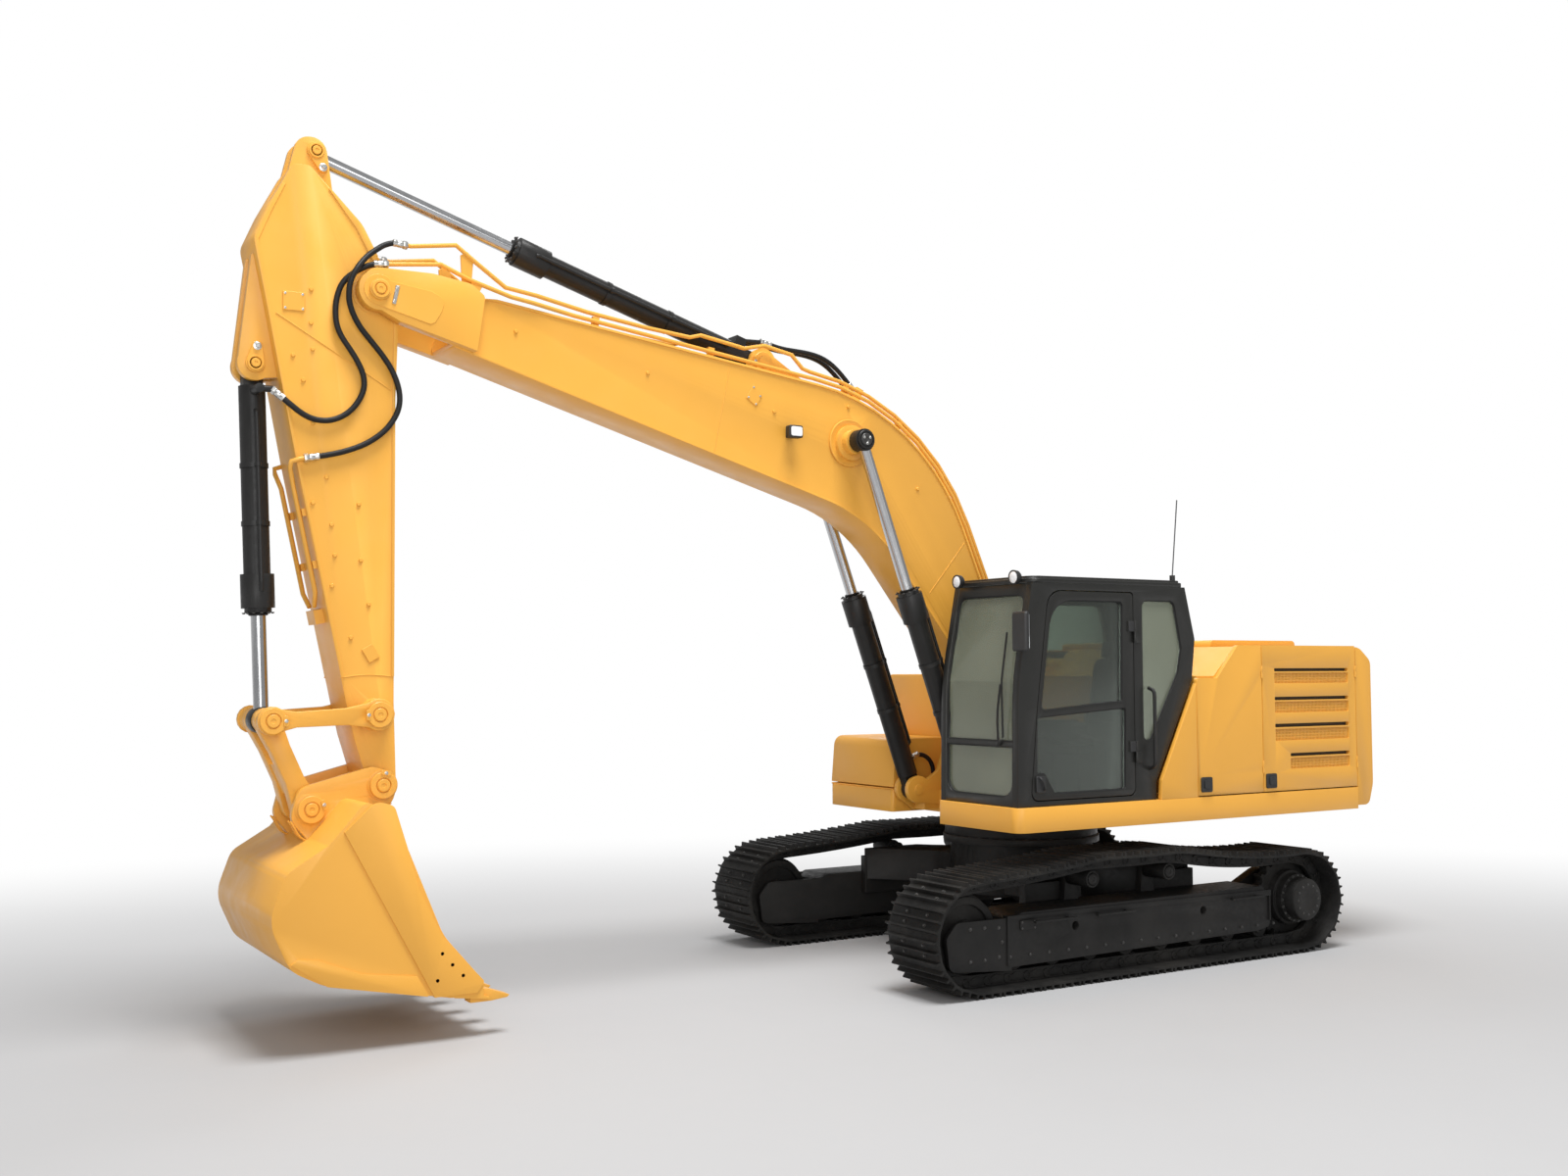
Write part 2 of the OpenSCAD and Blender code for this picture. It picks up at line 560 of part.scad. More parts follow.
// air intake: one narrow and one wide opening between z0 and z1
module louvre(x0, x1, z0, z1) for (h = [[0.02, 0.66], [0.76, 0.96]])
  slab(rounded([[x0, lerp(z0, z1, h[0]), 8], [x1, lerp(z0, z1, h[0]), 8], [x1, lerp(z0, z1, h[1]), 8],
    [x0, lerp(z0, z1, h[1]), 8]]), house_hw - door_t - 10, house_hw + 10);
door_z = deck_top + 10;
latch = [110, 105, 12];
module catch(x, side) box([x, side > 0 ? house_hw - 1 : -house_hw - latch[2], 1360],
  [x + latch[0], side > 0 ? house_hw + latch[2] : -house_hw + 1, 1360 + latch[1]]);
module service_door() color(yellow) {
  difference() {
    slab(rounded([[-594, door_z], [-594, shelf_z, 25], [-830, shelf_z, 40], [-1070, door_top, 40],
      [door_seam + 5, door_top], [door_seam + 5, door_z]]), house_hw - door_t, house_hw);
    leaf_room(seam_hinge, 1, true);
  }
  door_leaf(seam_hinge, 1);
  catch(-735, 1);
}
vents = [[2213, 2345, -1500], [1968, 2108, -1500], [1736, 1885, -1500], [1499, 1637, -1680]];
module cooling_door() color(yellow) {
  difference() {
    slab([[door_seam - 5, door_z], [door_seam - 5, door_top], [tail_joint + 8, door_top],
      [tail_joint + 8, door_z]],
      house_hw - door_t, house_hw);
    for (v = vents) louvre(v[2], tail_joint + 100, v[0], v[1]);
    leaf_room(seam_hinge, 1, false);
    leaf_room(tail_hinge, 1, true);
  }
  door_leaf(tail_hinge, 1);
  catch(-1490, 1);
}
module pump_door() color(yellow) {
  difference() {
    slab([[-1215, door_z], [-1215, door_top], [tail_joint + 8, door_top], [tail_joint + 8, door_z]],
      -house_hw, -house_hw + door_t);
    leaf_room(tail_hinge, -1, true);
  }
  door_leaf(tail_hinge, -1);
  catch(-1360, -1);
}
module tank(x0, x1, z) difference() {
  translate([x0, 0, 0]) rotate([90, 0, 90]) linear_extrude(x1 - x0) polygon(rounded([
    [-house_hw + 5, deck_top], [-house_hw + 5, z, 70], [-545, z, 70], [-545, deck_top]]));
  box([x0 + plate_t, -house_hw + 5 + plate_t, deck_top - 10], [x1 - plate_t, -545 - plate_t, z - 70]);
}
module hydraulic_tank() color(yellow) {
  tank(-1205, -435, 2440);
  translate([-700, -900, 2439]) cylinder(r = 90, h = 40);
}
module fuel_tank() color(yellow) {
  tank(-430, 330, 2300);
  translate([40, -1180, 2299]) cylinder(r = 55, h = 60);
}
module storage_box() color(yellow) difference() {
  slab(rounded([[340, deck_top], [340, 1750, 20], [930, 1750, 90], [968, deck_top]]), -house_hw + 6,
    -cab_y0 - 12);
  slab([[900, 1328], [900, 1338], [1000, 1338], [1000, 1328]], -2000, 0);
  box([340 + plate_t, -house_hw + 6 + plate_t, deck_top - 10], [880, -cab_y0 - 12 - plate_t, 1700]);
}

// Cab
sill = deck_top + gap;
wall_top = cab_top - 55;
// front face of the cab, drawn back by d
function cab_face(d) = [[cab_front_x - d, sill], [cab_front_x - 15 - d, 2250], [cab_front_x - 160 - d,
  wall_top]];
cab_side = rounded([[cab_front_x, sill], [cab_front_x - 15, 2250, 2500], [cab_front_x - 160, wall_top],
  [-512, wall_top],
  [cab_rear_x, 2575, 60], [-574, 2244, 60], [-165, 1453, 60], [-160, sill]]);
cab_y_in0 = cab_y0 + cab_t;
cab_y_in1 = cab_y1 - cab_t;
// door outline drawn in by d
function door_line(d) = [[1118 - d, 1355 + d, 60], [1050 - d, 2040, 900], [925 - d, 2940 - d, 140],
  [cab_hinge_x + 2 + d, 2940 - d, 30], [cab_hinge_x + 2 + d, 1355 + d, 60]];
quarter = [[-40, 1640, 50], [-40, 2880, 60], [-390, 2880, 60], [-470, 2500, 40], [-430, 2310, 60]];
right_light = [[1020, 1560, 60], [1020, 2200, 300], [930, 2870, 60], [-440, 2870, 60], [-520, 2560, 40],
  [-470, 2290, 60], [-120, 1560, 60]];
// windshield and the fixed pane below it
post = 15;
shield_y = [cab_y_in0 + post, cab_y_in1 - post];
function shield(d) = [[[shield_y[0] + d, 1800 + d], [shield_y[1] - d, 1800 + d], [shield_y[1] - d,
  2905 - d, 80 - d],
  [shield_y[0] + d, 2905 - d, 80 - d]], [[shield_y[0] + d, 1385 + d, 120 - d], [shield_y[1] - d,
    1385 + d, 120 - d],
  [shield_y[1] - d, 1765 - d], [shield_y[0] + d, 1765 - d]]];
module cab_floor() color(dark)
  box([-155, cab_y_in0 + gap, sill], [cab_front_x - 75, cab_y_in1 - gap, sill + 50]);
module cab_front() color(dark) intersection() {
  slab(cab_side, cab_y_in0 + gap, cab_y_in1 - gap);
  difference() {
    slab(concat(cab_face(70), [[1500, wall_top], [1500, sill]]), cab_y0, cab_y1);
    for (w = shield(0)) pane(w, 800, 1500);
  }
}
module cab_left_wall() color(dark) {
  difference() {
    slab(cab_side, cab_y_in1, cab_y1);
    slab(rounded(door_line(0)), cab_y_in1 - 10, cab_y1 + 10);
    slab(rounded(quarter), cab_y_in1 - 10, cab_y1 + 10);
  }
  for (z = cab_hinge_zs) wall_knuckle(z);
}

// hinge of the cab door: lower knuckle with its pin on the wall, upper one on the door
hinge_y = cab_y1 + 13;
hinge_r = 13;
hinge_h = 84;
cab_hinge_zs = [1610, 2545];
module wall_knuckle(z) {
  translate([cab_hinge_x, hinge_y, z]) cylinder(r = hinge_r, h = hinge_h);
  translate([cab_hinge_x, hinge_y, z]) cylinder(r = 6, h = 2 * hinge_h - 4);
  box([cab_hinge_x - 60, cab_y1 - 5, z], [cab_hinge_x - 8, cab_y1 + 14, z + hinge_h]);
}
module door_knuckle(z) difference() {
  union() {
    translate([cab_hinge_x, hinge_y, z + hinge_h + gap]) cylinder(r = hinge_r, h = hinge_h);
    box([cab_hinge_x + 4, cab_y1 - 5, z + hinge_h + gap], [cab_hinge_x + 70, cab_y1 + 14,
      z + 2 * hinge_h + gap]);
  }
  translate([cab_hinge_x, hinge_y, z]) cylinder(r = 6 + gap, h = 3 * hinge_h);
}
module cab_right_wall() color(dark) difference() {
  slab(cab_side, cab_y0, cab_y_in0);
  slab(rounded(right_light), cab_y0 - 10, cab_y_in0 + 10);
}
module cab_rear_wall() color(dark) intersection() {
  slab(cab_side, cab_y_in0 + gap, cab_y_in1 - gap);
  difference() {
    slab([[-460, wall_top], [-555, 2575], [-515, 2260], [-100, 1470], [-100, 1380], [-157, 1380],
      [-157, sill],
      [-900, sill], [-900, wall_top]], cab_y0, cab_y1);
    box([-900, cab_y_in0 + 70, 2330], [0, cab_y_in1 - 70, 2860]);
  }
}
// roof in two steps, so that its edge is eased
module cab_roof() color(dark) for (d = [[0, 0], [22, 35]])
  translate([0, 0, wall_top]) linear_extrude(d[1] == 0 ? 36 : cab_top - wall_top) polygon(rounded([
    [roof_front - d[0], cab_y0 + d[0], 120 - d[0]], [roof_front - d[0], cab_y1 - d[0], 120 - d[0]],
    [-510 + d[0], cab_y1 - d[0], 60 - d[0]], [-510 + d[0], cab_y0 + d[0], 60 - d[0]]]));
roof_front = cab_front_x - 150;
glass_t = 6;
glass_in = 30;
function shrink(pts, mid) = [for (p = pts) [p[0] + (p[0] > mid[0] ? -gap : gap),
  p[1] + (p[1] > mid[1] ? -gap : gap), p[2]]];
module cab_windows() color("#8fa39b", 0.4) {
  for (w = shield(gap)) intersection() {
    slab(concat(cab_face(glass_in + glass_t), [for (i = [2:-1:0]) cab_face(glass_in)[i]]), cab_y0, cab_y1);
    pane(w, 800, 1500);
  }
  slab(rounded(shrink(quarter, [-200, 2400])), cab_y1 - glass_in, cab_y1 - glass_in + glass_t);
  slab(rounded(shrink(right_light, [300, 2000])), cab_y0 + glass_in - glass_t, cab_y0 + glass_in);
  intersection() {
    slab([[-490, wall_top], [-585, 2575], [-545, 2260], [-539, 2260], [-579, 2575], [-484, wall_top]],
      cab_y0, cab_y1);
    box([-900, cab_y_in0 + 70 + gap, 2330 + gap], [0, cab_y_in1 - 70 - gap, 2860 - gap]);
  }
}
door_up = [[1008, 2025, 40], [885, 2866, 230], [165, 2866, 40], [180, 2085, 30]];
door_low = [[1052, 1556, 25], [1044, 1982, 25], [145, 2042, 25], [158, 1405, 40], [880, 1405, 30],
  [975, 1556, 30]];
module cab_door() color(dark) {
  difference() {
    slab(rounded(door_line(8)), cab_y_in1 + 4, cab_y1 - gap);
    slab(rounded(door_up), cab_y0, 2000);
    slab(rounded(door_low), cab_y0, 2000);
  }
  for (z = cab_hinge_zs) door_knuckle(z);
  // outside handle in the notch of the lower pane
  box([1000, cab_y1 - 1, 1430], [1060, cab_y1 + 14, 1530]);
}
module door_glass() color("#8fa39b", 0.4) {
  slab(rounded(shrink(door_up, [500, 2300])), cab_y1 - glass_in, cab_y1 - glass_in + glass_t);
  slab(rounded([for (i = [0:5]) [door_low[i][0] + (i < 2 ? -gap : i < 4 ? gap : -gap),
    door_low[i][1] + (i == 1 || i == 2 ? -gap : gap), door_low[i][2]]]), cab_y1 - glass_in,
      cab_y1 - glass_in + glass_t);
}
cab_mid = (cab_y0 + cab_y1) / 2;
module seat() color(dark) translate([150, cab_mid, sill + 50]) {
  box([-170, -200, 0], [180, 200, 300]);
  box([-230, -240, 299], [270, 240, 420]);
  slab(rounded([[-215, 330], [-130, 330], [-250, 1020, 40], [-380, 1020, 40]]), -225, 225);
  slab(rounded([[-350, 960], [-280, 960], [-290, 1210, 30], [-385, 1210, 30]]), -130, 130);
}
module consoles() color(dark) translate([150, cab_mid, sill + 50]) {
  for (s = [-1, 1]) {
    slab(rounded([[-180, 0], [120, 0], [140, 420, 30], [330, 480, 30], [330, 560, 40], [-180, 560, 40]]),
      s * 320 - 70, s * 320 + 70);
    translate([270, s * 320, 550]) cylinder(r = 22, h = 150);
    // travel levers in front of the seat
    translate([720, s * 70, 0]) cylinder(r = 14, h = 620);
    box([640, s * 130 - 50, 0], [830, s * 130 + 50, 40]);
  }
  // display on its post
  box([800, -390, 0], [850, -350, 620]);
  box([790, -390, 610], [830, -170, 790]);
}
lamp_r = 55;
module cab_lamps() color(dark) for (y = [cab_y0 + 125, cab_y1 - 125]) translate([roof_front + gap, y,
  cab_top - 32])
  rotate([0, 90, 0]) {
    cylinder(r = 18, h = 14);
    translate([-20, 0, 12]) cylinder(r = lamp_r, h = 60);
  }
mirror_arm = [1190, 2620];
module side_mirror() color(dark) {
  difference() {
    translate([cab_front_x - 120, cab_y1 - 20, mirror_arm[1]]) rotate([0, 90, 0]) cylinder(r = 11, h = 100);
    translate([gap, 0, 0]) slab(cab_side, cab_y_in1, cab_y1 + 10);
  }
  slab(rounded([[1215, 2470, 15], [1262, 2470, 15], [1262, 2770, 15], [1215, 2770, 15]]), cab_y1 - 35,
    cab_y1 + 130);
}
module antenna() color(dark) {
  translate([-460, cab_y1 - 80, cab_top]) cylinder(r = 22, h = 45);
  translate([-460, cab_y1 - 80, cab_top + 40]) rotate([0, -6, 0]) cylinder(r = 5, h = 620);
}

// Boom in its own frame: x along the pin line, z square to it
nose_out = 295;
plate_out = 12;
boom_lid = -0.374;
function boom_top(u) = 1369 + boom_lid * (u - 2957);
// bend of the top plate
bend_at = [2280, -312];
bend_r = 1812;
function boom_bend(a, h) = bend_at + (bend_r + h) * [cos(a), sin(a)];
// side outline, drawn in by d all round and run out through the nose
function boom_side(d) = rounded([[-150 + 2 * d, 60, 120 - d], [1949, 1746 - 1.14 * d, bend_r - d],
  [5424, 446 - 1.07 * d],
  [d > 0 ? 5700 : 5620, 330 - 1.5 * d, 60], [d > 0 ? 5700 : 5560, -30 + 1.1 * d, 60], [5489,
    -14 + 1.02 * d],
  [1999, 695 + 1.05 * d, 1350 + d], [100 + d, -150 + 1.2 * d, 120 - d]], 10);
wall = 18;
boom_nose = rounded([[5390, 20], [5520, 385, 40], [5640, 405, 120], [5900, 310, 200], [boom_len + 130,
  100, 120],
  [boom_len + 120, -120, 120], [5930, -105, 100]]);
boom_eye = [2446, 1124];
stick_eye = [3367, 1310];
stick_pin_r = 40;
ear_r = 110;
ear_y1 = 108;
module boom() color(yellow) in_boom() difference() {
  union() {
    // box of side plates between wider top and bottom plates
    difference() {
      slab(boom_side(0), -boom_hw, boom_hw);
      slab(boom_side(wall), -boom_hw + wall, boom_hw - wall);
    }
    difference() {
      slab(boom_side(0), -boom_hw - plate_out, boom_hw + plate_out);
      slab(boom_side(wall), -2 * boom_hw, 2 * boom_hw);
      box([-400, -400, -400], [420, 400, 500]);
    }
    rod_y([0, 0], 190, -ear0 + 6, ear0 - 6);
    slabs(boom_nose, boom_hw - 1, nose_out);
    rods_y([boom_len, 0], 135, stick_hw + 14, nose_out);
    rods_y([boom_len, 0], 70, stick_hw + 14, nose_out + 30);
    // pin of the stick
    rod_y([boom_len, 0], stick_pin_r - gap, -nose_out, nose_out);
    // bosses of the boom cylinders on round pads
    rods_y(boom_eye, 182, boom_hw - 1, boom_hw + 14);
    rods_y(boom_eye, 140, boom_hw - 1, boom_hw + 50);
    rods_y(boom_eye, 100, boom_hw - 1, boom_cyl_y - 66);
    // ears of the stick cylinder, run back along the top plate
    slabs([[3470, boom_top(3470) - 30], [3474, 1290], [3300, 1397], [2960, boom_top(2960) + 12], [2930,
      boom_top(2930) - 30]],
      eye_hw + eye_gap, ear_y1);
    rods_y(stick_eye, ear_r, eye_hw + eye_gap, ear_y1);
    rod_y(stick_eye, 45, -120, 120);
  }
  rod_y([0, 0], 62 + gap, -400, 400);
}
// pipes over the boom: rise over the top plate at each place along it
pipe_r = 16;
pipe_rise = [[4800, 103], [4340, 104], [4015, 119], [3945, 159], [3580, 147], [3440, 214], [3200, 199],
  [3065, 109]];
function boom_uv(p) = turn([p[0], p[2]] - foot, -boom_angle);
function before(pts, d) = let (p = pts[0] - d * unit(pts[1] - pts[0]), q = boom_uv(p))
  [q[0], p[1], q[1]];
pipe_y = 158;
pipe_low_y = 190;
foot_run = function (h, t) boom_bend(128.8, h) + t * [-0.7797, -0.6263];
function over_bend(h, y) = concat([for (q = arc(bend_at, bend_r + h, 68, 128.8, 7)) [q[0], y, q[1]]],
  [let (q = foot_run(h, 880)) [q[0], y, q[1]]]);
// near the nose the pipes keep outside the stick, which swings between them
nose_pipe_y = 232;
upper_pipe = concat([before(hose_upper, gap), before(hose_upper, 60)],
  [for (q = [[5850, 600], [5700, 580], [5415, boom_top(5415) + 100], [5200, boom_top(5200) + 101]])
    [q[0], nose_pipe_y, q[1]]],
  [for (q = pipe_rise) [q[0], pipe_y, boom_top(q[0]) + q[1]]], over_bend(92, pipe_y));
lower_pipe = concat([before(hose_lower, gap), before(hose_lower, 60), [5880, 250, 412], [5660, 244, 440]],
  [for (q = [[5350, 240], [5200, 236], [4880, pipe_low_y], [4200, pipe_low_y], [3000, pipe_low_y]])
    [q[0], q[1], boom_top(q[0]) + 38]], over_bend(38, pipe_low_y));
clamps = [4700, 3800];
// the bend is drawn with ten flats; i counts them from the front
bend_from = 69.5;
flat_a = 5.93;
module on_bend(i, y) let (a = bend_from + i * flat_a, q = boom_bend(a, -bend_r * (1 - cos(flat_a / 2))))
  translate([q[0], y, q[1]]) rotate([0, 90 - a, 0]) children();
module boom_pipes() color(yellow) in_boom() {
  sweep(upper_pipe, pipe_r);
  sweep([for (p = upper_pipe) [p[0], -p[1], p[2]]], pipe_r);
  sweep(lower_pipe, pipe_r);
  // posts under the pipes
  for (u = clamps, s = [-1, 1]) translate([u, s * pipe_y, boom_top(u)]) rotate([0, atan(-boom_lid), 0])
    box([-25, -16, gap], [25, 16, 95 - pipe_r - 4]);
  for (i = [1.5, 4.5, 7.5], s = [-1, 1]) on_bend(i, s * pipe_y) box([-25, -16, gap], [25, 16,
    92 - pipe_r - 4]);
  // manifold of the stick cylinder hoses
  on_bend(2.5, 0) {
    box([-70, -95, gap], [46, 95, 45]);
    box([-20, -75, 40], [46, 75, 155]);
  }
}
lamp_at = [2959, 897];
module boom_lamp() color(dark) in_boom() {
  box([lamp_at[0] - 35, boom_hw + gap, lamp_at[1] - 45], [lamp_at[0] + 35, boom_hw + 45, lamp_at[1] + 5]);
  translate([lamp_at[0], boom_hw + 45, lamp_at[1]]) rotate([0, 25, 0]) box([-65, 0, -50], [65, 70, 50]);
}

// Stick in its own frame: x down the pin line, z away from the machine
stick_side = rounded([[-800, 420, 40], [-450, 80, 250], [-140, -80, 120], [20, -165, 160], [700, -132],
  [stick_len - 535, -102],
  [stick_len + 30, -112, 90], [stick_len + 110, 40, 90], [stick_len - 320, 165, 200], [stick_len - 545,
    214], [1148, 525], [192, 695],
  [-286, 785, 120], [-500, 690, 120], [-800, 530, 40]], 6);
stick_core = [[-700, 330], [-420, 120], [-100, -50], [100, -130], [700, -112], [stick_len - 670, -85],
  [stick_len - 670, 215], [1148, 505],
  [192, 675], [-270, 755], [-480, 665], [-700, 560]];
bucket_eye = [520, 760];
stick_top_eye = [-928, 360];
function stick_face(u) = u < 1148 ? lerp(695, 525, (u - 192) / 956) : lerp(525, 214,
  (u - 1148) / (stick_len - 545 - 1148));
module stick() color(yellow) in_stick() difference() {
  union() {
    difference() {
      slab(stick_side, -stick_hw, stick_hw);
      slab(stick_core, -stick_hw + wall, stick_hw - wall);
    }
    // front and rear plates stand out past the side plates
    difference() {
      intersection() {
        slab(stick_side, -stick_hw - 8, stick_hw + 8);
        box([-660, -400, -400], [stick_len - 710, 400, 900]);
      }
      slab(stick_core, -400, 400);
    }
    rod_y([0, 0], 150, -stick_hw - 8, stick_hw + 8);
    rod_y([stick_len, 0], 118, -stick_hw, stick_hw);
    rod_y([stick_len, 0], 44, -ear_out - 30, ear_out + 30);
    // ears of the stick cylinder
    slabs(rounded([[-640, 250], [-1030, 300, 100], [-1010, 480, 100], [-700, 560]]), 70, 112);
    rod_y(stick_top_eye, 46, -126, -50);
    rod_y(stick_top_eye, 46, 50, 126);
    // ears of the bucket cylinder, run up the front plate
    slabs([[-210, 745], [-190, 778], [480, 862], [622, 790], [600, 590], [200, 670]], eye_hw + eye_gap,
      ear_y1);
    rods_y(bucket_eye, ear_r, eye_hw + eye_gap, ear_y1);
    rod_y(bucket_eye, 44, -120, 120);
    // rocker pin
    rod_y(rocker_eye, 105, -arm_in + 5, arm_in - 5);
    rod_y(rocker_eye, 44, -arm_out - 22, arm_out + 22);
  }
  box([-1200, -60, -200], [-600, 60, 700]);
  rod_y([0, 0], stick_pin_r, -400, 400);
}
function stick_uv(p) = turn([p[0], p[2]] - nose, -stick_angle);
function after(pts, d) = let (k = len(pts) - 1, p = pts[k] + d * unit(pts[k] - pts[k - 1]),
  q = stick_uv(p)) [q[0], p[1], q[1]];
stick_pipe_y = 150;
// the pipes end above the reach of the bucket link
block_u = stick_len - 1120;
stick_pipe = concat([after(hose_upper, gap), after(hose_upper, 60), [1160, 222, stick_face(1160) + 40],
    [1200, 196, stick_face(1200) + 50]],
  [for (u = [1300, block_u - 150]) [u, stick_pipe_y, stick_face(u) + 42]],
  [[block_u - 60, 60, stick_face(block_u - 60) + 42]]);
module stick_pipes() color(yellow) in_stick() {
  for (s = [1, -1]) {
    sweep([for (p = stick_pipe) [p[0], s * p[1], p[2]]], pipe_r);
    for (u = [1480, block_u - 330]) translate([u, s * stick_pipe_y, stick_face(u)]) rotate([0, 11.2, 0])
      box([-25, -22, gap], [25, 22, 42 - pipe_r - 1]);
  }
  // valve block where the pipes end
  translate([block_u, 0, stick_face(block_u)]) rotate([0, 11.2, 0]) box([-45, -90, gap], [50, 90, 62]);
}

// Bucket about its pin, as it hangs in the photo
bucket_shell = [[480, -320, 60], [735, -475, 140], [835, -760, 260], [700, -1060, 200], [500, -1165,
  300], [-300, -1325],
  [-520, -1345]];
side_bar = [[386, -244], [190, -60, 110], [75, -95, 60], [-16, -379, 600], [-85, -616], [-247, -942,
  300], [-524, -1244, 20],
  [-475, -1310], [-194, -1310]];
wear_plate = [[700, -1020], [660, -992, 20], [543, -1004, 60], [269, -1118, 200], [-80, -1166], [-150,
  -1285], [-150, -1300],
  [480, -1172]];
link_eye = bucket_pins * [cos(16.3), -sin(16.3)];
module bucket() color(yellow) in_bucket() difference() {
  union() {
    difference() {
      slab(rounded(concat([[250, -60, 60]], bucket_shell, [[-520, -1240, 60], [-250, -929, 400], [-20,
        -379, 400], [70, -150, 80]]), 8),
        -bucket_hw, bucket_hw);
      slab(rounded([[150, -200, 60], [440, -350, 60], [700, -500, 140], [800, -760, 240], [680, -1030,
        180], [490, -1130, 280],
        [-300, -1288], [-700, -1330], [-700, -300], [-100, -200]], 8), -bucket_hw + 30, bucket_hw - 30);
    }
    // ears over both pins
    slabs(rounded([[-120, 60, 110], [60, 125, 110], [540, 0, 100], [590, -200, 100], [480, -330], [180,
      -300], [-70, -110, 90]]),
      ear_in, ear_out);
    // cutting edge
    slab([[-330, -1331], [-330, -1290], [-560, -1345], [-560, -1362]], -bucket_hw, bucket_hw);
    // side bars and corner wear plates
    slabs(rounded(side_bar), bucket_hw - 20, bucket_hw + 12);
    slabs(rounded(wear_plate), bucket_hw - 20, bucket_hw + 9);
    // teeth
    for (i = [0:tooth_count - 1]) translate([0, lerp(-bucket_hw + 75, bucket_hw - 75,
      i / (tooth_count - 1)), 0])
      slab([[-440, -1378], [-440, -1285], [-560, -1300], [-705, -1352], [-690, -1366], [-580, -1378]],
        -52, 52);
    // wear strips under the floor
    for (y = [-450, -150, 150, 450]) slab([[-250, -1312], [-250, -1330], [480, -1185], [480, -1150]],
      y - 45, y + 45);
    rod_y(link_eye, 44, -ear_out - 28, ear_out + 28);
    rods_y(link_eye, 100, ear_in, ear_out + 8);
    rods_y([0, 0], 100, ear_in, ear_out + 8);
  }
  rod_y([0, 0], 44 + gap, -400, 400);
}

// arm with round ends and a narrow waist
rocker_outline = concat(arc([0, 0], 105, 50, 310, 12), [[210, -55], [rocker_len - 150, -50]],
  arc([rocker_len, 0], 92, -130, 130, 12), [[rocker_len - 150, 50], [210, 55]]);
module rocker() color(yellow) {
  difference() {
    slabs([for (q = rocker_outline) rocker_pin + turn(q, rocker_angle)], arm_in, arm_out);
    rod_y(rocker_pin, 44 + gap, -400, 400);
  }
  rods_y(link_top, 44, stick_hw + 3, arm_out + 20);
  rods_y(link_top, 80, stick_hw + 3, arm_in + 1);
}
link_len = norm(link_top - link_low);
// slim enough to pass the stick with the bucket fully out and fully in
link_waist = 60;
link_outline = concat(arc([0, 0], 92, 70, 290, 12), [[200, -link_waist], [link_len - 200, -link_waist]],
  arc([link_len, 0], 80, -110, 110, 12), [[link_len - 200, link_waist], [200, link_waist]]);
module bucket_link() color(yellow) difference() {
  union() {
    slabs([for (q = link_outline) link_low + turn(q, angle_of(link_top - link_low))], fork_in, stick_hw);
    along(link_low, link_top) box([8 - link_waist, -fork_in - 1, 120], [link_waist - 8, fork_in + 1, 330]);
    rods_y(link_top, 44, fork_in - 2, stick_hw);
  }
  rod_y(link_low, 44 + gap, -400, 400);
}

// Cylinders: hollow barrel with an eye, collar at the rod end
gland = 70;
bore_from = 190;
barrel_wall = 16;
piston = 36;
module barrel(len, pin_r, collar) {
  difference() {
    union() {
      rotate([90, 0, 0]) cylinder(r = pin_r + 37, h = eye_hw * 2, center = true);
      box([-62, -eye_hw, 0], [62, eye_hw, 150]);
      translate([0, 0, 135]) cylinder(r = barrel_r, h = len - 135);
      translate([0, 0, len - collar]) cylinder(r = collar_r, h = collar - 30);
      translate([0, 0, len - 31]) cylinder(r = collar_r * 0.8, h = 31);
    }
    rotate([90, 0, 0]) cylinder(r = pin_r + gap, h = 400, center = true);
    translate([0, 0, bore_from]) cylinder(r = barrel_r - barrel_wall, h = len - bore_from - gland);
    translate([0, 0, bore_from]) cylinder(r = rod_r + gap, h = len);
  }
}
module rod(dist, inner, eye_hw, pin_r) {
  translate([0, 0, inner]) cylinder(r = rod_r, h = dist - inner - pin_r - 20);
  translate([0, 0, inner]) cylinder(r = barrel_r - barrel_wall - gap, h = piston);
  translate([0, 0, dist]) rotate([90, 0, 0]) cylinder(r = pin_r + 42, h = eye_hw * 2, center = true);
}
boom_barrel_len = 1741;
stick_barrel_len = 2124;
bucket_barrel_len = 1609;
port_at = 175;
module boom_cylinder_barrels() color(dark) for (s = [-1, 1]) {
  along(boom_cyl_base, boom_cyl_top, s * boom_cyl_y) {
    barrel(boom_barrel_len, 45, 250);
    // port on the rear side
    translate([10 - barrel_r, 0, 250]) rotate([0, -90, 0]) cylinder(r = 26, h = 24);
  }
}
module boom_cylinder_rods() color(steel) for (s = [-1, 1]) {
  along(boom_cyl_base, boom_cyl_top, s * boom_cyl_y) rod(norm(boom_cyl_top - boom_cyl_base), 1169, 50, 45);
  // stub pin and cap ride with the eye
  rod_y(boom_cyl_top, 45, s > 0 ? boom_cyl_y - 62 : -boom_cyl_y - 66,
    s > 0 ? boom_cyl_y + 66 : -boom_cyl_y + 62);
  rod_y(boom_cyl_top, 72, s > 0 ? boom_cyl_y + 49 : -boom_cyl_y - 64,
    s > 0 ? boom_cyl_y + 64 : -boom_cyl_y - 49);
}
module stick_cylinder_barrel() color(dark) along(stick_cyl_base, stick_cyl_top) {
  barrel(stick_barrel_len, 45, 270);
  // port block on top with the two pipe stubs that reach back over the pin
  difference() {
    box([-barrel_r - 42, -70, 170], [-barrel_r + 30, 70, 260]);
    translate([0, 0, bore_from]) cylinder(r = barrel_r - barrel_wall, h = stick_barrel_len / 2);
  }
  for (y = [-40, 40]) translate([-barrel_r - 88, y, 14]) rotate([0, 19.65, 0]) cylinder(r = 19, h = 185);
}
module stick_cylinder_rod() color(steel)
  along(stick_cyl_base, stick_cyl_top) rod(norm(stick_cyl_top - stick_cyl_base), 1430, 46, 46);
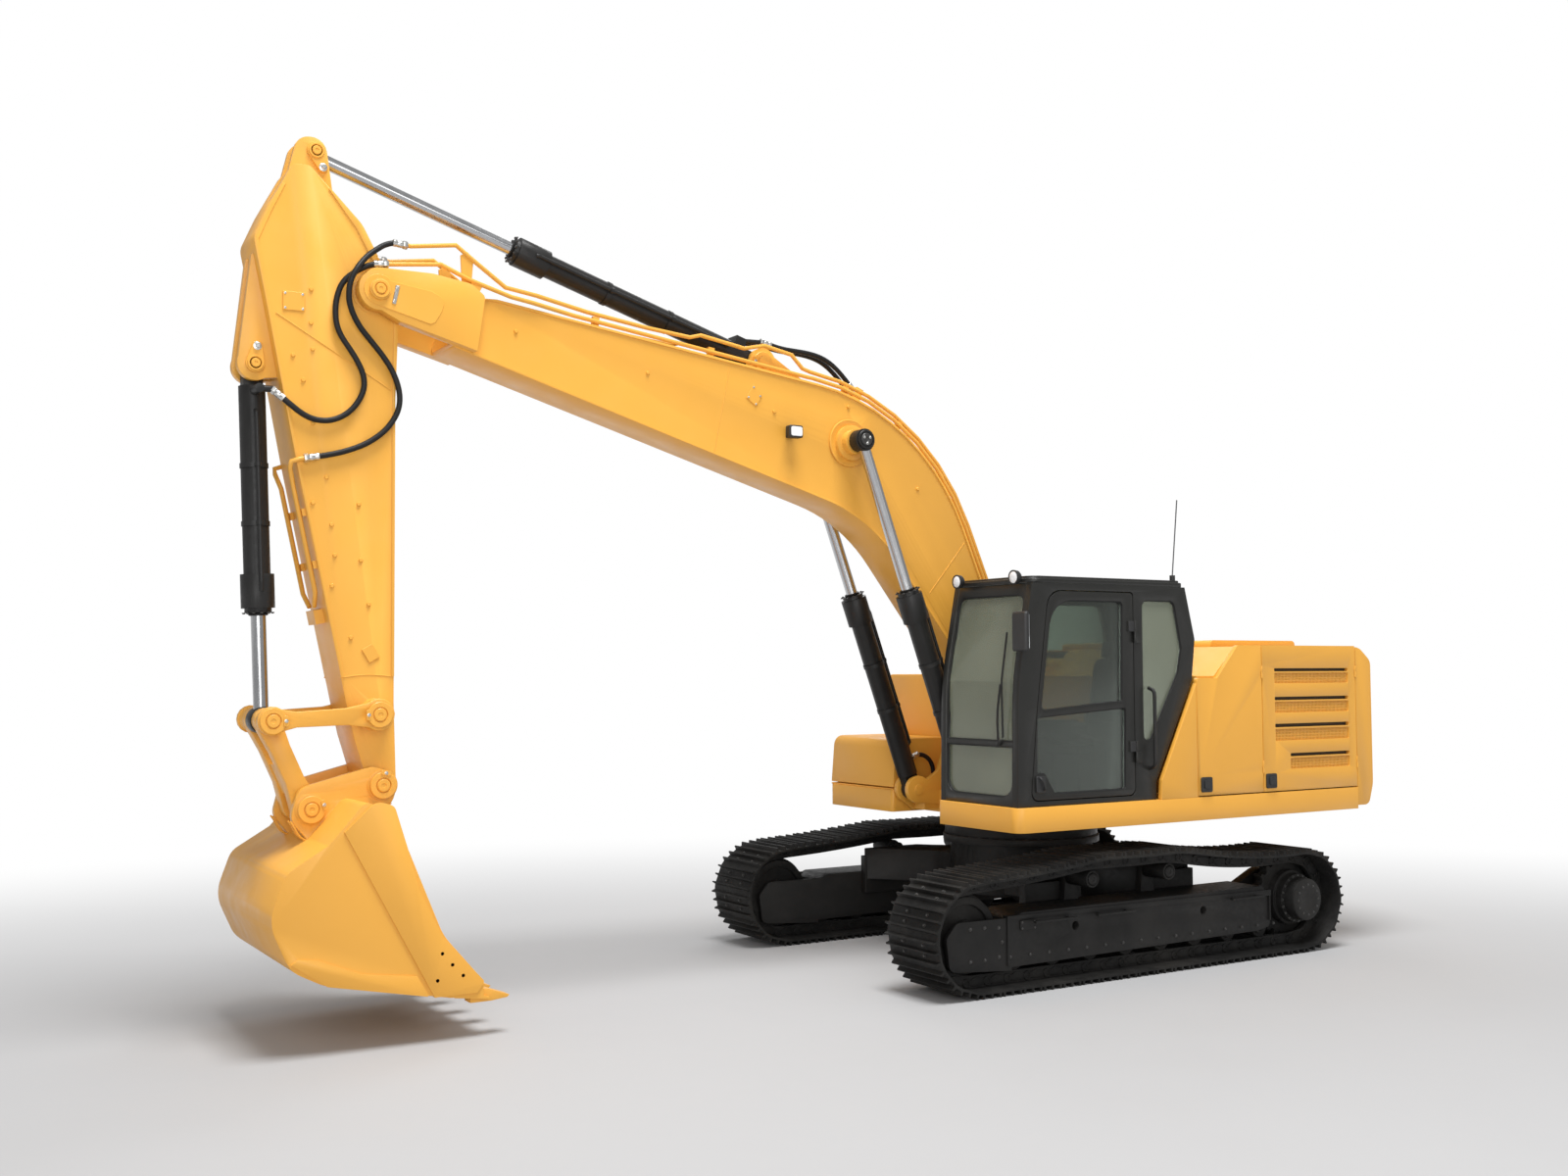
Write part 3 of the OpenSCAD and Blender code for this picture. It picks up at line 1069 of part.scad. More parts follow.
module bucket_cylinder_barrel() color(dark) {
  along(bucket_cyl_base, link_top) barrel(bucket_barrel_len, 44, 250);
  // port and elbow of the lower hose
  p = bucket_cyl_base + port_at * unit(link_top - bucket_cyl_base);
  rod_y(p, 30, 70, 218);
  translate([p[0], 196, p[1]]) rotate([0, -90, 0]) cylinder(r = 22, h = barrel_r);
}
module bucket_cylinder_rod() color(steel)
  along(bucket_cyl_base, link_top) rod(norm(link_top - bucket_cyl_base), 700, 62, 44);

translate([-frame_x, 0, 0]) {
  car_body();
  track_frame_left();
  track_frame_right();
  track_left();
  track_right();
  idlers();
  sprockets();
  track_rollers();
  carrier_rollers();
  swing_bearing();
  main_frame();
  counterweight();
  engine_block();
  bulkheads();
  side_panel();
  top_cover();
  engine_hood();
  service_door();
  cooling_door();
  pump_door();
  hydraulic_tank();
  fuel_tank();
  storage_box();
  cab_floor();
  cab_front();
  cab_left_wall();
  cab_right_wall();
  cab_rear_wall();
  cab_roof();
  cab_windows();
  cab_door();
  door_glass();
  seat();
  consoles();
  cab_lamps();
  side_mirror();
  antenna();
  boom();
  boom_pipes();
  boom_lamp();
  stick();
  stick_pipes();
  bucket();
  rocker();
  bucket_link();
  boom_cylinder_barrels();
  boom_cylinder_rods();
  stick_cylinder_barrel();
  stick_cylinder_rod();
  bucket_cylinder_barrel();
  bucket_cylinder_rod();
  stick_hose_upper();
  stick_hose_lower();
  stick_hose_right();
  stick_cylinder_hose_left();
  stick_cylinder_hose_right();
  boom_cylinder_hose_left();
  boom_cylinder_hose_right();
}
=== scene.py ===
import json
import math

import bpy
import bmesh
import numpy as np
from mathutils import Matrix, Vector


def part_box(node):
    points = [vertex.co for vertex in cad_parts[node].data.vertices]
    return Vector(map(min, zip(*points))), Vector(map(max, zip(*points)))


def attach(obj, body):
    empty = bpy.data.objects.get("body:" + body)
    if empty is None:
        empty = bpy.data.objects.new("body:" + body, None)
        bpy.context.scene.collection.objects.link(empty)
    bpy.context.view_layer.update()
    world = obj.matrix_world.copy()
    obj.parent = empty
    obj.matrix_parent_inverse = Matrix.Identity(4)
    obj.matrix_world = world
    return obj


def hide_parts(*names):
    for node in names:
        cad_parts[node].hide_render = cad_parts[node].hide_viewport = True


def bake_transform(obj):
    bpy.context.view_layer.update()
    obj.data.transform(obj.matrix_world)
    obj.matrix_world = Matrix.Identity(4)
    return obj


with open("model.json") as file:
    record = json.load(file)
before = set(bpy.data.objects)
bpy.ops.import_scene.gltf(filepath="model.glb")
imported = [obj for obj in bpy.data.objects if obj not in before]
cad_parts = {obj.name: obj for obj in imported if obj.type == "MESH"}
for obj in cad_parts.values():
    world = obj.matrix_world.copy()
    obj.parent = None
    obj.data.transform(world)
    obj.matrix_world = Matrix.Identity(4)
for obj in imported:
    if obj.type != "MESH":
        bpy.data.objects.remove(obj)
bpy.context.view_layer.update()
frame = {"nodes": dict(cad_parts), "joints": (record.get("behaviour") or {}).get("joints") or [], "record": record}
nodes = frame["nodes"]
record = frame["record"]
bodyOf = {node: body for body, names in record["behaviour"]["bodies"].items() for node in names}
print("frame loaded:", len(nodes), "nodes")

# the machine is drawn in millimetres about the swing axis, the row frame is in metres
swing = next(j for j in frame["joints"] if j["name"] == "swing")["pos_m"]
shift = np.array([swing[0], 0.0, 0.0])
zero = (0, 0, 0)
upward = (0, 0, 1)
ahead = (1, 0, 0)


def spot(points):
    # machine millimetres to row metres
    return np.asarray(points, float) * 0.001 + shift


def toMachine(points):
    # row metres to machine millimetres
    return (np.asarray(points, float) - shift) * 1000


def across(side):
    # way out of the machine's left side (1) or right side (-1)
    return np.array([0.0, side, 0.0])


def cosSin(deg):
    return math.cos(math.radians(deg)), math.sin(math.radians(deg))


def evenAngles(count):
    return np.radians(np.linspace(0, 360, count, endpoint=False))


def turned(p, deg):
    c, s = cosSin(deg)
    return np.array([p[0] * c - p[1] * s, p[0] * s + p[1] * c])


# pins of the front linkage, x and z in machine millimetres
link = {"foot": np.array([250.0, 2000.0]), "boomLen": 6152, "boomAngle": 27.8, "stickLen": 3270,
        "stickAngle": -91.1, "rockerLen": 681, "rockerAngle": -2.4, "earLen": 482, "earAngle": -16.3}
foot = link["foot"]
nose = foot + turned([link["boomLen"], 0], link["boomAngle"])
bucketPin = nose + turned([link["stickLen"], 0], link["stickAngle"])
rockerPin = nose + turned([link["stickLen"] - 463, 29], link["stickAngle"])
linkTop = rockerPin + turned([link["rockerLen"], 0], link["rockerAngle"])
linkLow = bucketPin + turned([link["earLen"], 0], link["earAngle"])
bucketEye = nose + turned([520, 760], link["stickAngle"])
stickTop = nose + turned([-928, 360], link["stickAngle"])
boomEye = foot + turned([2446, 1124], link["boomAngle"])
boomCylBase = np.array([860.0, 1330.0])
stickCylBase = foot + turned([3367, 1310], link["boomAngle"])


def inFrame(origin, deg, u, y, v):
    # u along a member's pin line, v square to it, y across the machine
    c, s = cosSin(deg)
    u, y, v = np.broadcast_arrays(np.asarray(u, float), np.asarray(y, float), np.asarray(v, float))
    return np.stack([origin[0] + u * c - v * s, y, origin[1] + u * s + v * c], -1)


def plain(u, y, v):
    return inFrame((0, 0), 0, u, y, v)


def onBoom(u, y, v):
    return inFrame(foot, link["boomAngle"], u, y, v)


def onStick(u, y, v):
    return inFrame(nose, link["stickAngle"], u, y, v)


def onBucket(u, y, v):
    return inFrame(bucketPin, 0, u, y, v)


# camera at the photo's place, solved from the machine's known sizes
cameraFacts = {"place": (8.756, 10.349, 2.337), "yaw": -121.67, "pitch": 3.05, "roll": -0.25, "lens": 35.66,
               "sensor": 36, "farthest": 500}


def setCamera(facts):
    yaw, pitch, roll = (math.radians(facts[k]) for k in ("yaw", "pitch", "roll"))
    forward = Vector((math.cos(yaw) * math.cos(pitch), math.sin(yaw) * math.cos(pitch), math.sin(pitch)))
    right = forward.cross(Vector((0, 0, 1))).normalized()
    up = right.cross(forward)
    right, up = right * math.cos(roll) + up * math.sin(roll), up * math.cos(roll) - right * math.sin(roll)
    data = bpy.data.cameras.new("photoCamera")
    data.lens = facts["lens"]
    data.sensor_width = facts["sensor"]
    data.clip_end = facts["farthest"]
    cam = bpy.data.objects.new("photoCamera", data)
    cam.matrix_world = Matrix((right, up, -forward)).transposed().to_4x4()
    cam.location = Vector(facts["place"]) + Vector(shift)
    bpy.context.scene.collection.objects.link(cam)
    bpy.context.scene.camera = cam


setCamera(cameraFacts)
print("camera set")


# dust that gathers in blotches on the undercarriage
dustFacts = {"color": (0.3, 0.27, 0.23), "scale": 2.2, "detail": 8, "from": 0.45, "to": 0.75}


def wire(tree, *pairs):
    for a, b in pairs:
        tree.links.new(a, b)


def makeFinish(name, color, rough, metal=0.0, coat=0.0, shine=0.5, vary=0.03, varyScale=3.0, roughVary=0.08,
               grain=0.0, grainScale=300.0, dust=0.0):
    # colour drifts with soft noise, roughness with finer noise, the surface with the finest
    mat = bpy.data.materials.new(name)
    mat.use_nodes = True
    tree = mat.node_tree
    shader = tree.nodes["Principled BSDF"]
    shader.inputs["Metallic"].default_value = metal
    shader.inputs["Coat Weight"].default_value = coat
    shader.inputs["Specular IOR Level"].default_value = shine
    shader.inputs["Coat Roughness"].default_value = 0.15
    place = tree.nodes.new("ShaderNodeTexCoord")

    def noise(scale, detail, low=0.0, high=1.0, fromLow=0.3, fromHigh=0.7):
        n = tree.nodes.new("ShaderNodeTexNoise")
        n.inputs["Scale"].default_value = scale
        n.inputs["Detail"].default_value = detail
        m = tree.nodes.new("ShaderNodeMapRange")
        for key, value in (("From Min", fromLow), ("From Max", fromHigh), ("To Min", low), ("To Max", high)):
            m.inputs[key].default_value = value
        wire(tree, (place.outputs["Object"], n.inputs["Vector"]), (n.outputs["Fac"], m.inputs["Value"]))
        return m.outputs["Result"]

    def blendColors(factor, a, b):
        mix = tree.nodes.new("ShaderNodeMix")
        mix.data_type = "RGBA"
        for socket, value in (("A", a), ("B", b)):
            if isinstance(value, tuple):
                mix.inputs[socket].default_value = (*value, 1)
            else:
                tree.links.new(value, mix.inputs[socket])
        tree.links.new(factor, mix.inputs["Factor"])
        return mix.outputs["Result"]

    darker = tuple(c * (1 - vary) for c in color)
    lighter = tuple(min(c * (1 + vary), 1) for c in color)
    base = blendColors(noise(varyScale, 5), darker, lighter)
    if dust:
        blotch = noise(dustFacts["scale"], dustFacts["detail"], 0, dust, dustFacts["from"], dustFacts["to"])
        base = blendColors(blotch, base, dustFacts["color"])
    sheen = noise(varyScale * 5, 6, rough - roughVary, rough + roughVary)
    wire(tree, (base, shader.inputs["Base Color"]), (sheen, shader.inputs["Roughness"]))
    if grain:
        bump = tree.nodes.new("ShaderNodeBump")
        bump.inputs["Strength"].default_value = grain
        bump.inputs["Distance"].default_value = 0.002
        wire(tree, (noise(grainScale, 4), bump.inputs["Height"]),
             (bump.outputs["Normal"], shader.inputs["Normal"]))
    return mat


def makeGlass(name, color, film, filmShare):
    # tint seen straight through, mirror-like at a flat angle, with a faint pale film over it
    mat = bpy.data.materials.new(name)
    mat.use_nodes = True
    tree = mat.node_tree
    tree.nodes.remove(tree.nodes["Principled BSDF"])
    tint = tree.nodes.new("ShaderNodeBsdfTransparent")
    tint.inputs["Color"].default_value = (*color, 1)
    gloss = tree.nodes.new("ShaderNodeBsdfGlossy")
    gloss.inputs["Roughness"].default_value = 0.1
    haze = tree.nodes.new("ShaderNodeBsdfDiffuse")
    haze.inputs["Color"].default_value = (*film, 1)
    place = tree.nodes.new("ShaderNodeTexCoord")
    cloud = tree.nodes.new("ShaderNodeTexNoise")
    cloud.inputs["Scale"].default_value = 2.5
    share = tree.nodes.new("ShaderNodeMapRange")
    share.inputs["To Min"].default_value = filmShare * 0.8
    share.inputs["To Max"].default_value = filmShare * 1.2
    fresnel = tree.nodes.new("ShaderNodeFresnel")
    fresnel.inputs["IOR"].default_value = 1.45
    coated = tree.nodes.new("ShaderNodeMixShader")
    mix = tree.nodes.new("ShaderNodeMixShader")
    wire(tree, (place.outputs["Object"], cloud.inputs["Vector"]),
         (cloud.outputs["Fac"], share.inputs["Value"]),
         (share.outputs["Result"], coated.inputs["Fac"]), (tint.outputs["BSDF"], coated.inputs[1]),
         (haze.outputs["BSDF"], coated.inputs[2]), (fresnel.outputs["Fac"], mix.inputs["Fac"]),
         (coated.outputs["Shader"], mix.inputs[1]), (gloss.outputs["BSDF"], mix.inputs[2]),
         (mix.outputs["Shader"], tree.nodes["Material Output"].inputs["Surface"]))
    return mat


yellow = makeFinish("yellowPaint", (0.78, 0.385, 0.056), 0.40, shine=0.4, coat=0.06, vary=0.025,
                    varyScale=1.2, grain=0.05, grainScale=160)
black = makeFinish("blackPaint", (0.0165, 0.016, 0.0155), 0.40, shine=0.3, vary=0.12, varyScale=5,
                   grain=0.06, grainScale=220)
cabPaint = makeFinish("cabPaint", (0.018, 0.018, 0.0165), 0.36, shine=0.34, vary=0.08, varyScale=4,
                      grain=0.06, grainScale=260)
trackSteel = makeFinish("trackSteel", (0.0115, 0.0112, 0.0108), 0.55, shine=0.2, vary=0.35, varyScale=12,
                        grain=0.3, grainScale=90, dust=0.05)
frameBlack = makeFinish("frameBlack", (0.0135, 0.013, 0.0125), 0.48, shine=0.25, vary=0.15, varyScale=6,
                        grain=0.12, grainScale=140, dust=0.03)
chrome = makeFinish("chromeRod", (0.50, 0.505, 0.515), 0.2, metal=1.0, vary=0.02, roughVary=0.04)
zinc = makeFinish("zincPlate", (0.62, 0.62, 0.60), 0.32, metal=1.0, vary=0.08, varyScale=60,
                  grain=0.1, grainScale=500)
pinSteel = makeFinish("pinSteel", (0.07, 0.068, 0.066), 0.42, metal=0.6, vary=0.2, varyScale=30,
                      grain=0.15, grainScale=300)
plastic = makeFinish("blackPlastic", (0.02, 0.02, 0.0205), 0.5, vary=0.1, varyScale=30,
                     grain=0.22, grainScale=900)
cloth = makeFinish("seatCloth", (0.03, 0.03, 0.033), 0.92, vary=0.3, varyScale=400, grain=0.6, grainScale=650)
rubber = makeFinish("hoseRubber", (0.012, 0.012, 0.0122), 0.5, shine=0.25, vary=0.15, varyScale=60,
                    grain=0.18, grainScale=420)
seal = makeFinish("windowSeal", (0.009, 0.009, 0.009), 0.6, vary=0.1, varyScale=80, grain=0.1, grainScale=600)
iron = makeFinish("castIron", (0.06, 0.06, 0.062), 0.6, vary=0.3, varyScale=15, grain=0.4, grainScale=120)
# painted shade: a dark brownish finish for the sheets in the vent openings, standing in for the shaded inside
# behind the fins
ventShade = makeFinish("ventPaintedShade", (0.035, 0.026, 0.012), 0.7, vary=0.2, varyScale=50,
                     grain=0.2, grainScale=400)
lensWhite = makeFinish("lampLens", (0.85, 0.86, 0.88), 0.12, coat=0.6, vary=0.04, varyScale=60,
                       grain=0.25, grainScale=140)
lining = makeFinish("cabLining", (0.15, 0.155, 0.14), 0.75, vary=0.12, varyScale=25,
                    grain=0.3, grainScale=500)
mirrorFace = makeFinish("mirrorFace", (0.8, 0.82, 0.84), 0.04, metal=1.0, vary=0.01, roughVary=0.01)
glass = makeGlass("tintedGlass", (0.86, 0.93, 0.86), (0.62, 0.67, 0.50), 0.24)
doorTint = makeGlass("doorGlass", (0.47, 0.52, 0.48), (0.5, 0.52, 0.47), 0.04)
bySlot = {"yellow_paint": yellow, "dark_paint": black, "track_steel": trackSteel,
          "counterweight_paint": yellow, "engine_iron": iron, "glass": glass, "chrome_rod": chrome,
          "black_plastic": plastic, "seat_cloth": cloth, "hose_rubber": rubber, "cab_paint": cabPaint}
slotOf = {part["node"]: part["material_slot"] for part in record["subparts"]}
for node, slot in slotOf.items():
    mesh = nodes[node].data
    mesh.materials.clear()
    mesh.materials.append(bySlot[slot])
for node in ("car_body", "track_frame_left", "track_frame_right", "swing_bearing"):
    nodes[node].data.materials[0] = frameBlack
nodes["door_glass"].data.materials[0] = doorTint
print("finishes set")


def gridFaces(rows, cols):
    # quads between neighbouring rings of points
    r = np.arange(rows - 1)[:, None]
    c = np.arange(cols)[None, :]
    n = (c + 1) % cols
    return np.stack([r * cols + c, r * cols + n, (r + 1) * cols + n, (r + 1) * cols + c], -1).reshape(-1, 4)


def ringPart(rings):
    # rings (rows, cols, 3) skinned into a closed part with a flat cap at both ends
    rows, cols = rings.shape[:2]
    faces = gridFaces(rows, cols).tolist()
    faces += [list(range(cols))[::-1], list(range((rows - 1) * cols, rows * cols))]
    return rings.reshape(-1, 3), faces


def loopPart(rings):
    # rings skinned round into a loop, the last joined to the first
    rows, cols = rings.shape[:2]
    return rings.reshape(-1, 3), (gridFaces(rows + 1, cols) % (rows * cols)).tolist()


def basis(axis):
    # two directions square to each axis, and the axis itself
    w = np.asarray(axis, float)
    w = w / np.linalg.norm(w, axis=-1, keepdims=True)
    ref = np.where(np.abs(w[..., 1:2]) < 0.9, np.array([0.0, 1, 0]), np.array([1.0, 0, 0]))
    u = np.cross(ref, w)
    u /= np.linalg.norm(u, axis=-1, keepdims=True)
    return u, np.cross(w, u), w


def circle(sides, u, v):
    # unit circle in the plane of u and v, for one pair or for a row of pairs
    a = np.linspace(0, 2 * np.pi, sides, endpoint=False)[:, None]
    return np.cos(a) * u[..., None, :] + np.sin(a) * v[..., None, :]


def turnedRings(profile, origin, axis, sides):
    profile = np.asarray(profile, float)[:, :, None, None]
    u, v, w = basis(axis)
    return np.asarray(origin, float) + profile[:, 0] * w + profile[:, 1] * circle(sides, u, v)


def lathe(profile, origin, axis, sides):
    # profile of (distance along axis, radius) turned round the axis
    return ringPart(turnedRings(profile, origin, axis, sides))


def hoop(profile, origin, axis, sides):
    # closed section turned round the axis, open in the middle so that a rod can slide through
    return loopPart(turnedRings(profile, origin, axis, sides))


def smoothPath(points, step):
    # Catmull-Rom curve through the points, cut into even pieces of about step
    p = np.asarray(points, float)
    p = np.vstack([2 * p[0] - p[1], p, 2 * p[-1] - p[-2]])
    t = np.linspace(0, 1, 12, endpoint=False)[:, None, None]
    a, b, c, d = p[:-3], p[1:-2], p[2:-1], p[3:]
    bend = (2 * a - 5 * b + 4 * c - d) * t ** 2 + (3 * b - a - 3 * c + d) * t ** 3
    curve = 0.5 * (2 * b + (c - a) * t + bend)
    curve = np.vstack([curve.transpose(1, 0, 2).reshape(-1, 3), p[-2]])
    s = np.concatenate([[0], np.cumsum(np.linalg.norm(np.diff(curve, axis=0), axis=1))])
    even = np.linspace(0, s[-1], max(int(s[-1] / step), 2) + 1)
    return np.stack([np.interp(even, s, curve[:, k]) for k in range(3)], -1)


def tube(path, radius, sides):
    # circle carried along the path, its start direction turned with the path so that it doesn't twist
    path = np.asarray(path, float)
    along = np.gradient(path, axis=0)
    along /= np.linalg.norm(along, axis=1, keepdims=True)
    side = np.empty_like(along)
    side[0] = basis(along[0])[0]
    for i in range(1, len(path)):
        s = side[i - 1] - along[i] * np.dot(side[i - 1], along[i])
        side[i] = s / np.linalg.norm(s)
    return ringPart(path[:, None] + radius * circle(sides, side, np.cross(along, side)))


def bentBar(points, step, radius, sides):
    return tube(smoothPath(points, step), radius, sides)


def plate(outline, y0, y1, bevel, where=plain):
    # flat outline carried across the machine, its two rims drawn in to a small chamfer
    o = np.asarray(outline, float)
    area = np.sum(o[:, 0] * np.roll(o[:, 1], -1) - np.roll(o[:, 0], -1) * o[:, 1])
    if area < 0:
        o = o[::-1]

    def inward(d):
        return np.stack([-d[:, 1], d[:, 0]], -1) / np.linalg.norm(d, axis=1, keepdims=True)
    n0 = inward(o - np.roll(o, 1, 0))
    mitre = n0 + inward(np.roll(o, -1, 0) - o)
    mitre /= np.maximum(np.sum(mitre * n0, -1, keepdims=True), 0.3)
    inner = o + mitre * bevel
    rows = [(inner, y0), (o, y0 + bevel), (o, y1 - bevel), (inner, y1)]
    return ringPart(np.stack([where(q[:, 0], y, q[:, 1]) for q, y in rows]))


def sidePlate(outline, side, near, far, bevel, where=plain):
    # plate on one side of the machine, between two distances from the middle
    lo, hi = sorted((side * near, side * far))
    return plate(outline, lo, hi, bevel, where)


def roundedBox(lo, hi, r):
    # box with rounded corners in the side view and chamfered rims
    a = np.radians(np.linspace(0, 90, 4))
    line = []
    for x, z, start in ((hi[0] - r, hi[2] - r, 0), (lo[0] + r, hi[2] - r, 90),
                        (lo[0] + r, lo[2] + r, 180), (hi[0] - r, lo[2] + r, 270)):
        t = a + math.radians(start)
        line.append(np.stack([x + r * np.cos(t), z + r * np.sin(t)], -1))
    return plate(np.vstack(line), lo[1], hi[1], min(r, (hi[1] - lo[1]) * 0.3) * 0.5)


def joined(parts):
    # several parts as one list of points and one of faces
    verts, faces, n = [], [], 0
    for v, f in parts:
        verts.append(v)
        faces += [[i + n for i in q] for q in f]
        n += len(v)
    return np.vstack(verts), faces


def copies(part, origins, axes):
    # one part set at many places, its own +Z along each axis
    verts, faces = part
    origins = np.asarray(origins, float)
    u, v, w = (d[:, None] for d in basis(np.broadcast_to(axes, origins.shape)))
    x, y, z = (verts[None, :, k:k + 1] for k in range(3))
    every = origins[:, None] + x * u + y * v + z * w
    n = len(verts)
    return every.reshape(-1, 3), [[i + k * n for i in f] for k in range(len(origins)) for f in faces]


def boltHead(r):
    # washer and six sided head with an eased top
    washer = lathe([(0, r * 1.35), (r * 0.2, r * 1.35), (r * 0.28, r * 1.2)], zero, upward, 12)
    head = lathe([(r * 0.2, r), (r * 0.85, r), (r * 1.0, r * 0.84)], zero, upward, 6)
    return joined([washer, head])


def boltCircle(r, count, radius, center, axis):
    # bolt heads in a ring about an axis that goes across or up the machine
    places = np.zeros((count, 3)) + np.asarray(center, float)
    places[:, 0] += radius * np.cos(evenAngles(count))
    places[:, 2 if axis[1] else 1] += radius * np.sin(evenAngles(count))
    return copies(boltHead(r), places, axis)


def putPiece(name, parts, material, body=None, sharp=40):
    # parts joined into one mesh at the origin, faces outwards
    verts, faces = joined(parts)
    mesh = bpy.data.meshes.new(name)
    mesh.from_pydata(spot(verts).tolist(), [], faces)
    bm = bmesh.new()
    bm.from_mesh(mesh)
    bmesh.ops.recalc_face_normals(bm, faces=bm.faces)
    bm.to_mesh(mesh)
    bm.free()
    mesh.polygons.foreach_set("use_smooth", np.ones(len(mesh.polygons), bool))
    mesh.set_sharp_from_angle(angle=math.radians(sharp))
    mesh.materials.append(material)
    piece = bpy.data.objects.new(name, mesh)
    bpy.context.scene.collection.objects.link(piece)
    if body:
        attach(piece, body)
    return piece


# hoses: the same routes as the solids, machine millimetres
hoseFacts = {"diameter": 0.038, "step": 14, "sides": 16, "nut": 34, "portNut": 14}
hoseRoutes = {
    "stick_hose_upper": [
        (5520, 232, 5210), (5580, 232, 5212), (5640, 234, 5190), (5690, 240, 5155), (5750, 254, 5105),
        (5800, 276, 5050), (5840, 298, 4995), (5870, 302, 4940), (5888, 296, 4880), (5890, 285, 4820),
        (5880, 270, 4760), (5850, 255, 4690), (5800, 242, 4615), (5730, 230, 4540), (5655, 224, 4458),
        (5590, 222, 4370), (5545, 222, 4275), (5525, 222, 4180), (5535, 222, 4090), (5580, 222, 4000),
        (5650, 222, 3920), (5755, 222, 3845), (5875, 222, 3792), (6000, 222, 3755), (6120, 222, 3730)],
    "stick_hose_lower": [
        (5660, 268, 5050), (5705, 266, 5045), (5755, 262, 5030), (5805, 254, 5003), (5852, 246, 4970),
        (5893, 238, 4932), (5925, 232, 4885), (5945, 228, 4830), (5958, 226, 4765), (5960, 224, 4690),
        (5948, 223, 4612), (5915, 222, 4540), (5865, 222, 4470), (5818, 222, 4400), (5782, 222, 4330),
        (5765, 222, 4258), (5775, 222, 4186), (5810, 222, 4115), (5862, 222, 4052), (5930, 222, 4005),
        (6012, 222, 3980), (6098, 222, 3985), (6175, 223, 4018), (6245, 224, 4068), (6295, 216, 4110),
        (6328, 203, 4140)],
    "stick_cylinder_hose_left": [
        (1735, 40, 4600), (1768, 40, 4638), (1813, 40, 4684), (1865, 40, 4732), (1925, 40, 4778),
        (1990, 40, 4814), (2060, 40, 4838), (2135, 40, 4852), (2215, 40, 4859), (2295, 40, 4862),
        (2375, 40, 4865), (2455, 40, 4874), (2525, 40, 4888), (2574, 40, 4896)],
    "boom_cylinder_hose_left": [
        (853, 390, 1599), (834, 391, 1606), (791, 394, 1615), (748, 398, 1614), (707, 402, 1600),
        (671, 407, 1577), (642, 411, 1546), (622, 415, 1507), (612, 418, 1451), (612, 420, 1400),
        (612, 420, 1355), (612, 420, 1316)]}
for left, right in (("stick_hose_upper", "stick_hose_right"),
                    ("stick_cylinder_hose_left", "stick_cylinder_hose_right"),
                    ("boom_cylinder_hose_left", "boom_cylinder_hose_right")):
    hoseRoutes[right] = [(x, -y, z) for x, y, z in hoseRoutes[left]]
hoseEnds = {"stick_hose": ("boom", "stick"), "stick_cylinder_hose": ("boom", "stick_cylinder_barrel"),
            "boom_cylinder_hose": ("boom_cylinder_barrels", "upper_frame")}


def endsOf(node):
    return hoseEnds[node.rsplit("_", 1)[0]]


hosePaths = {}
for node, route in hoseRoutes.items():
    path = smoothPath(route, hoseFacts["step"])
    hosePaths[node] = path
    hose = putPiece(node + "Line", [tube(path, hoseFacts["diameter"] * 500, hoseFacts["sides"])], rubber)
    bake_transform(hose)
    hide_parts(node)


def ferrule(point, along, nut):
    # crimped sleeve with two ridges and a hexagon nut behind it
    sleeve = [(-2, 21), (4, 24), (30, 24), (33, 22), (38, 22), (41, 24), (62, 24), (66, 20)]
    hexagon = [(-nut, 26), (-nut + 4, 29), (-6, 29), (-2, 26)]
    return [lathe(sleeve, point, along, 20), lathe(hexagon, point, along, 6)]


def hoseFittings():
    ends = {body: [] for body in (
        "boom", "stick", "stick_cylinder_barrel", "boom_cylinder_barrels", "upper_frame")}
    for node, path in hosePaths.items():
        bodyA, bodyB = endsOf(node)
        # the nut on a boom cylinder's port keeps out of the bore
        nut = hoseFacts["portNut"] if bodyA == "boom_cylinder_barrels" else hoseFacts["nut"]
        ends[bodyA] += ferrule(path[0], path[1] - path[0], nut)
        ends[bodyB] += ferrule(path[-1], path[-2] - path[-1], hoseFacts["nut"])
    for body, parts in ends.items():
        putPiece("hoseFittings_" + body, parts, zinc, body)


hoseFittings()
print("hoses made")


# painted pieces: a merged copy of each solid, its edges eased by so many millimetres
skinFacts = {
    "main_frame": 5, "counterweight": 10, "side_panel": 4, "top_cover": 4, "engine_hood": 5,
    "service_door": 4, "cooling_door": 3, "pump_door": 4, "hydraulic_tank": 8, "fuel_tank": 8,
    "storage_box": 8, "cab_front": 5,
    "cab_left_wall": 5, "cab_right_wall": 5, "cab_rear_wall": 5, "cab_roof": 7, "cab_door": 4, "boom": 4,
    "boom_pipes": 0, "stick": 4, "stick_pipes": 0, "bucket": 4, "rocker": 5, "bucket_link": 5,
    "boom_cylinder_barrels": 4, "stick_cylinder_barrel": 4, "bucket_cylinder_barrel": 4,
    "boom_cylinder_rods": 3, "stick_cylinder_rod": 3, "bucket_cylinder_rod": 3, "track_frame_left": 5,
    "track_frame_right": 5, "car_body": 8, "track_left": 3, "track_right": 3, "idlers": 4, "sprockets": 4,
    "track_rollers": 4, "carrier_rollers": 4, "swing_bearing": 4, "consoles": 6, "bulkheads": 0,
    "engine_block": 10, "cab_floor": 3, "antenna": 0}
easeFacts = {"weld": 2e-5, "flat": 0.5, "crease": 50, "edge": 34, "segments": 2}


